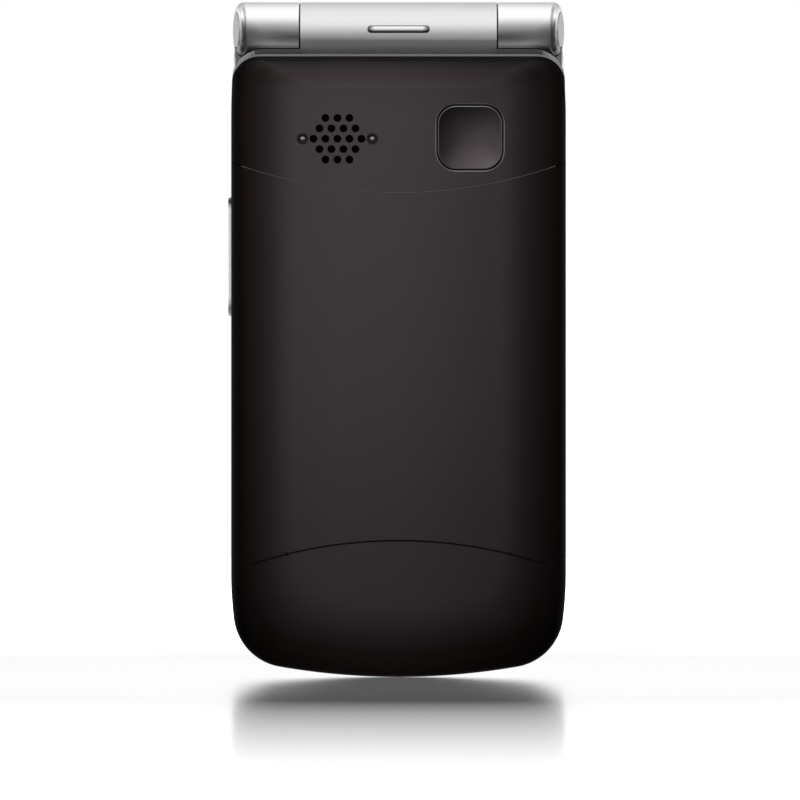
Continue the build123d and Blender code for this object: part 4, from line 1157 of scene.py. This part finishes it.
# Studio surround. Levels go by the height of the direction: -180 behind, -90 below, 0 in front,
# 90 above. The side fades go by its share towards the left (-1) or right (1).
surround = {
    "ambient": 0.35, "mirrorLevel": 1.15, "backFrom": -0.1, "backTo": 0.4,
    "heights": [(-180, 0.85), (-165, 0.75), (-150, 0.6), (-135, 0.42), (-118, 0.22), (-104, 0.12),
                (-90, 0.1), (-75, 0.1), (-55, 0.15), (-37, 0.25), (-20, 0.38), (-4, 0.56),
                (10, 0.78), (21, 0.93), (36, 1.0), (56, 0.95), (76, 0.91), (92, 0.8),
                (130, 0.56), (152, 0.48), (172, 0.75), (180, 0.9)],
    "frontSides": [(-1, 1.3), (-0.86, 0.9), (-0.7, 0.5), (-0.5, 0.42), (-0.28, 0.64), (-0.16, 1.0),
                   (0.1, 1.0), (0.2, 0.68), (0.42, 0.38), (0.68, 0.42), (0.86, 0.8), (1, 1.2)],
    "backSides": [(-1, 1.3), (-0.85, 1.1), (-0.6, 0.9), (-0.3, 0.75), (-0.14, 0.85), (-0.07, 1.0),
                  (0.07, 1.0), (0.14, 0.85), (0.3, 0.75), (0.6, 0.9), (0.85, 1.1), (1, 1.3)]}
world = bpy.data.worlds.new("studio")
bpy.context.scene.world = world
world.use_nodes = True
world.cycles.sampling_method = "NONE"
tree = world.node_tree
tree.nodes.clear()
towards = axes(addNode(tree, "TexCoord").outputs["Generated"])
height = maths("ARCTAN2", towards["Z"], times(towards["Y"], -1.0))
height = maths("ADD", times(height, 1 / (2 * pi)), 0.5)
glow = ramp(height, [((angle + 180) / 360, level) for angle, level in surround["heights"]])


def sideFade(stops):
    # The lit strip is narrow: it fades to both sides of the camera.
    share = times(maths("ADD", towards["X"], 1.0), 0.5)
    return ramp(share, [((side + 1) / 2, level) for side, level in stops])


behind = mapped(towards["Y"], surround["backFrom"], surround["backTo"])
fade = addNode(tree, "Mix", {
    0: behind, 6: sideFade(surround["frontSides"]), 7: sideFade(surround["backSides"])},
    data_type="RGBA")
backdrops = [addNode(tree, "Background", values).outputs[0] for values in (
    {"Color": tone(1.0), "Strength": 1.0},
    {"Color": scaled(glow, fade.outputs[2]), "Strength": surround["mirrorLevel"]},
    {"Color": tone(1.0), "Strength": surround["ambient"]})]
rayKind = addNode(tree, "LightPath").outputs
glossyMix = mixShader(rayKind["Is Glossy Ray"], backdrops[2], backdrops[1])
direct = maths("MAXIMUM", rayKind["Is Camera Ray"], rayKind["Is Transmission Ray"])
addNode(tree, "OutputWorld", {
    "Surface": mixShader(direct, glossyMix, backdrops[0])})

# Soft lamps, which mirrors don't show, and the camera
lamps = [
    {"name": "backLight", "place": (0.06, 0.62, 0.56), "aim": (0, -0.05, 0.02),
     "size": (0.36, 0.5), "power": 11.0},
    {"name": "frontLight", "place": (-0.25, -1.3, 0.3), "aim": (0, 0, 0.05), "size": (0.9, 0.5),
     "power": 9.0}]
for lamp in lamps:
    light = bpy.data.lights.new(lamp["name"], "AREA")
    light.shape = "RECTANGLE"
    light.size, light.size_y = lamp["size"]
    light.energy = lamp["power"]
    holder = linked(lamp["name"], light)
    holder.location = lamp["place"]
    aim = Vector(lamp["aim"]) - Vector(lamp["place"])
    holder.rotation_euler = aim.to_track_quat("-Z", "Y").to_euler()
    holder.visible_glossy = False
view = {"x": 0.24 * mm, "z": 44.68 * mm, "away": 2.0, "faceY": -4 * mm, "width": 129.03 * mm,
        "sensor": 36, "clip": 20}
cameraData = bpy.data.cameras.new("camera")
cameraData.sensor_width = view["sensor"]
cameraData.lens = view["sensor"] * view["away"] / view["width"]
cameraData.clip_end = view["clip"]
cameraObject = linked("camera", cameraData)
cameraObject.location = (view["x"], view["faceY"] - view["away"], view["z"])
cameraObject.rotation_euler = (pi / 2, 0, 0)
bpy.context.scene.camera = cameraObject
bpy.context.scene.view_settings.view_transform = "Standard"
print("stage set")
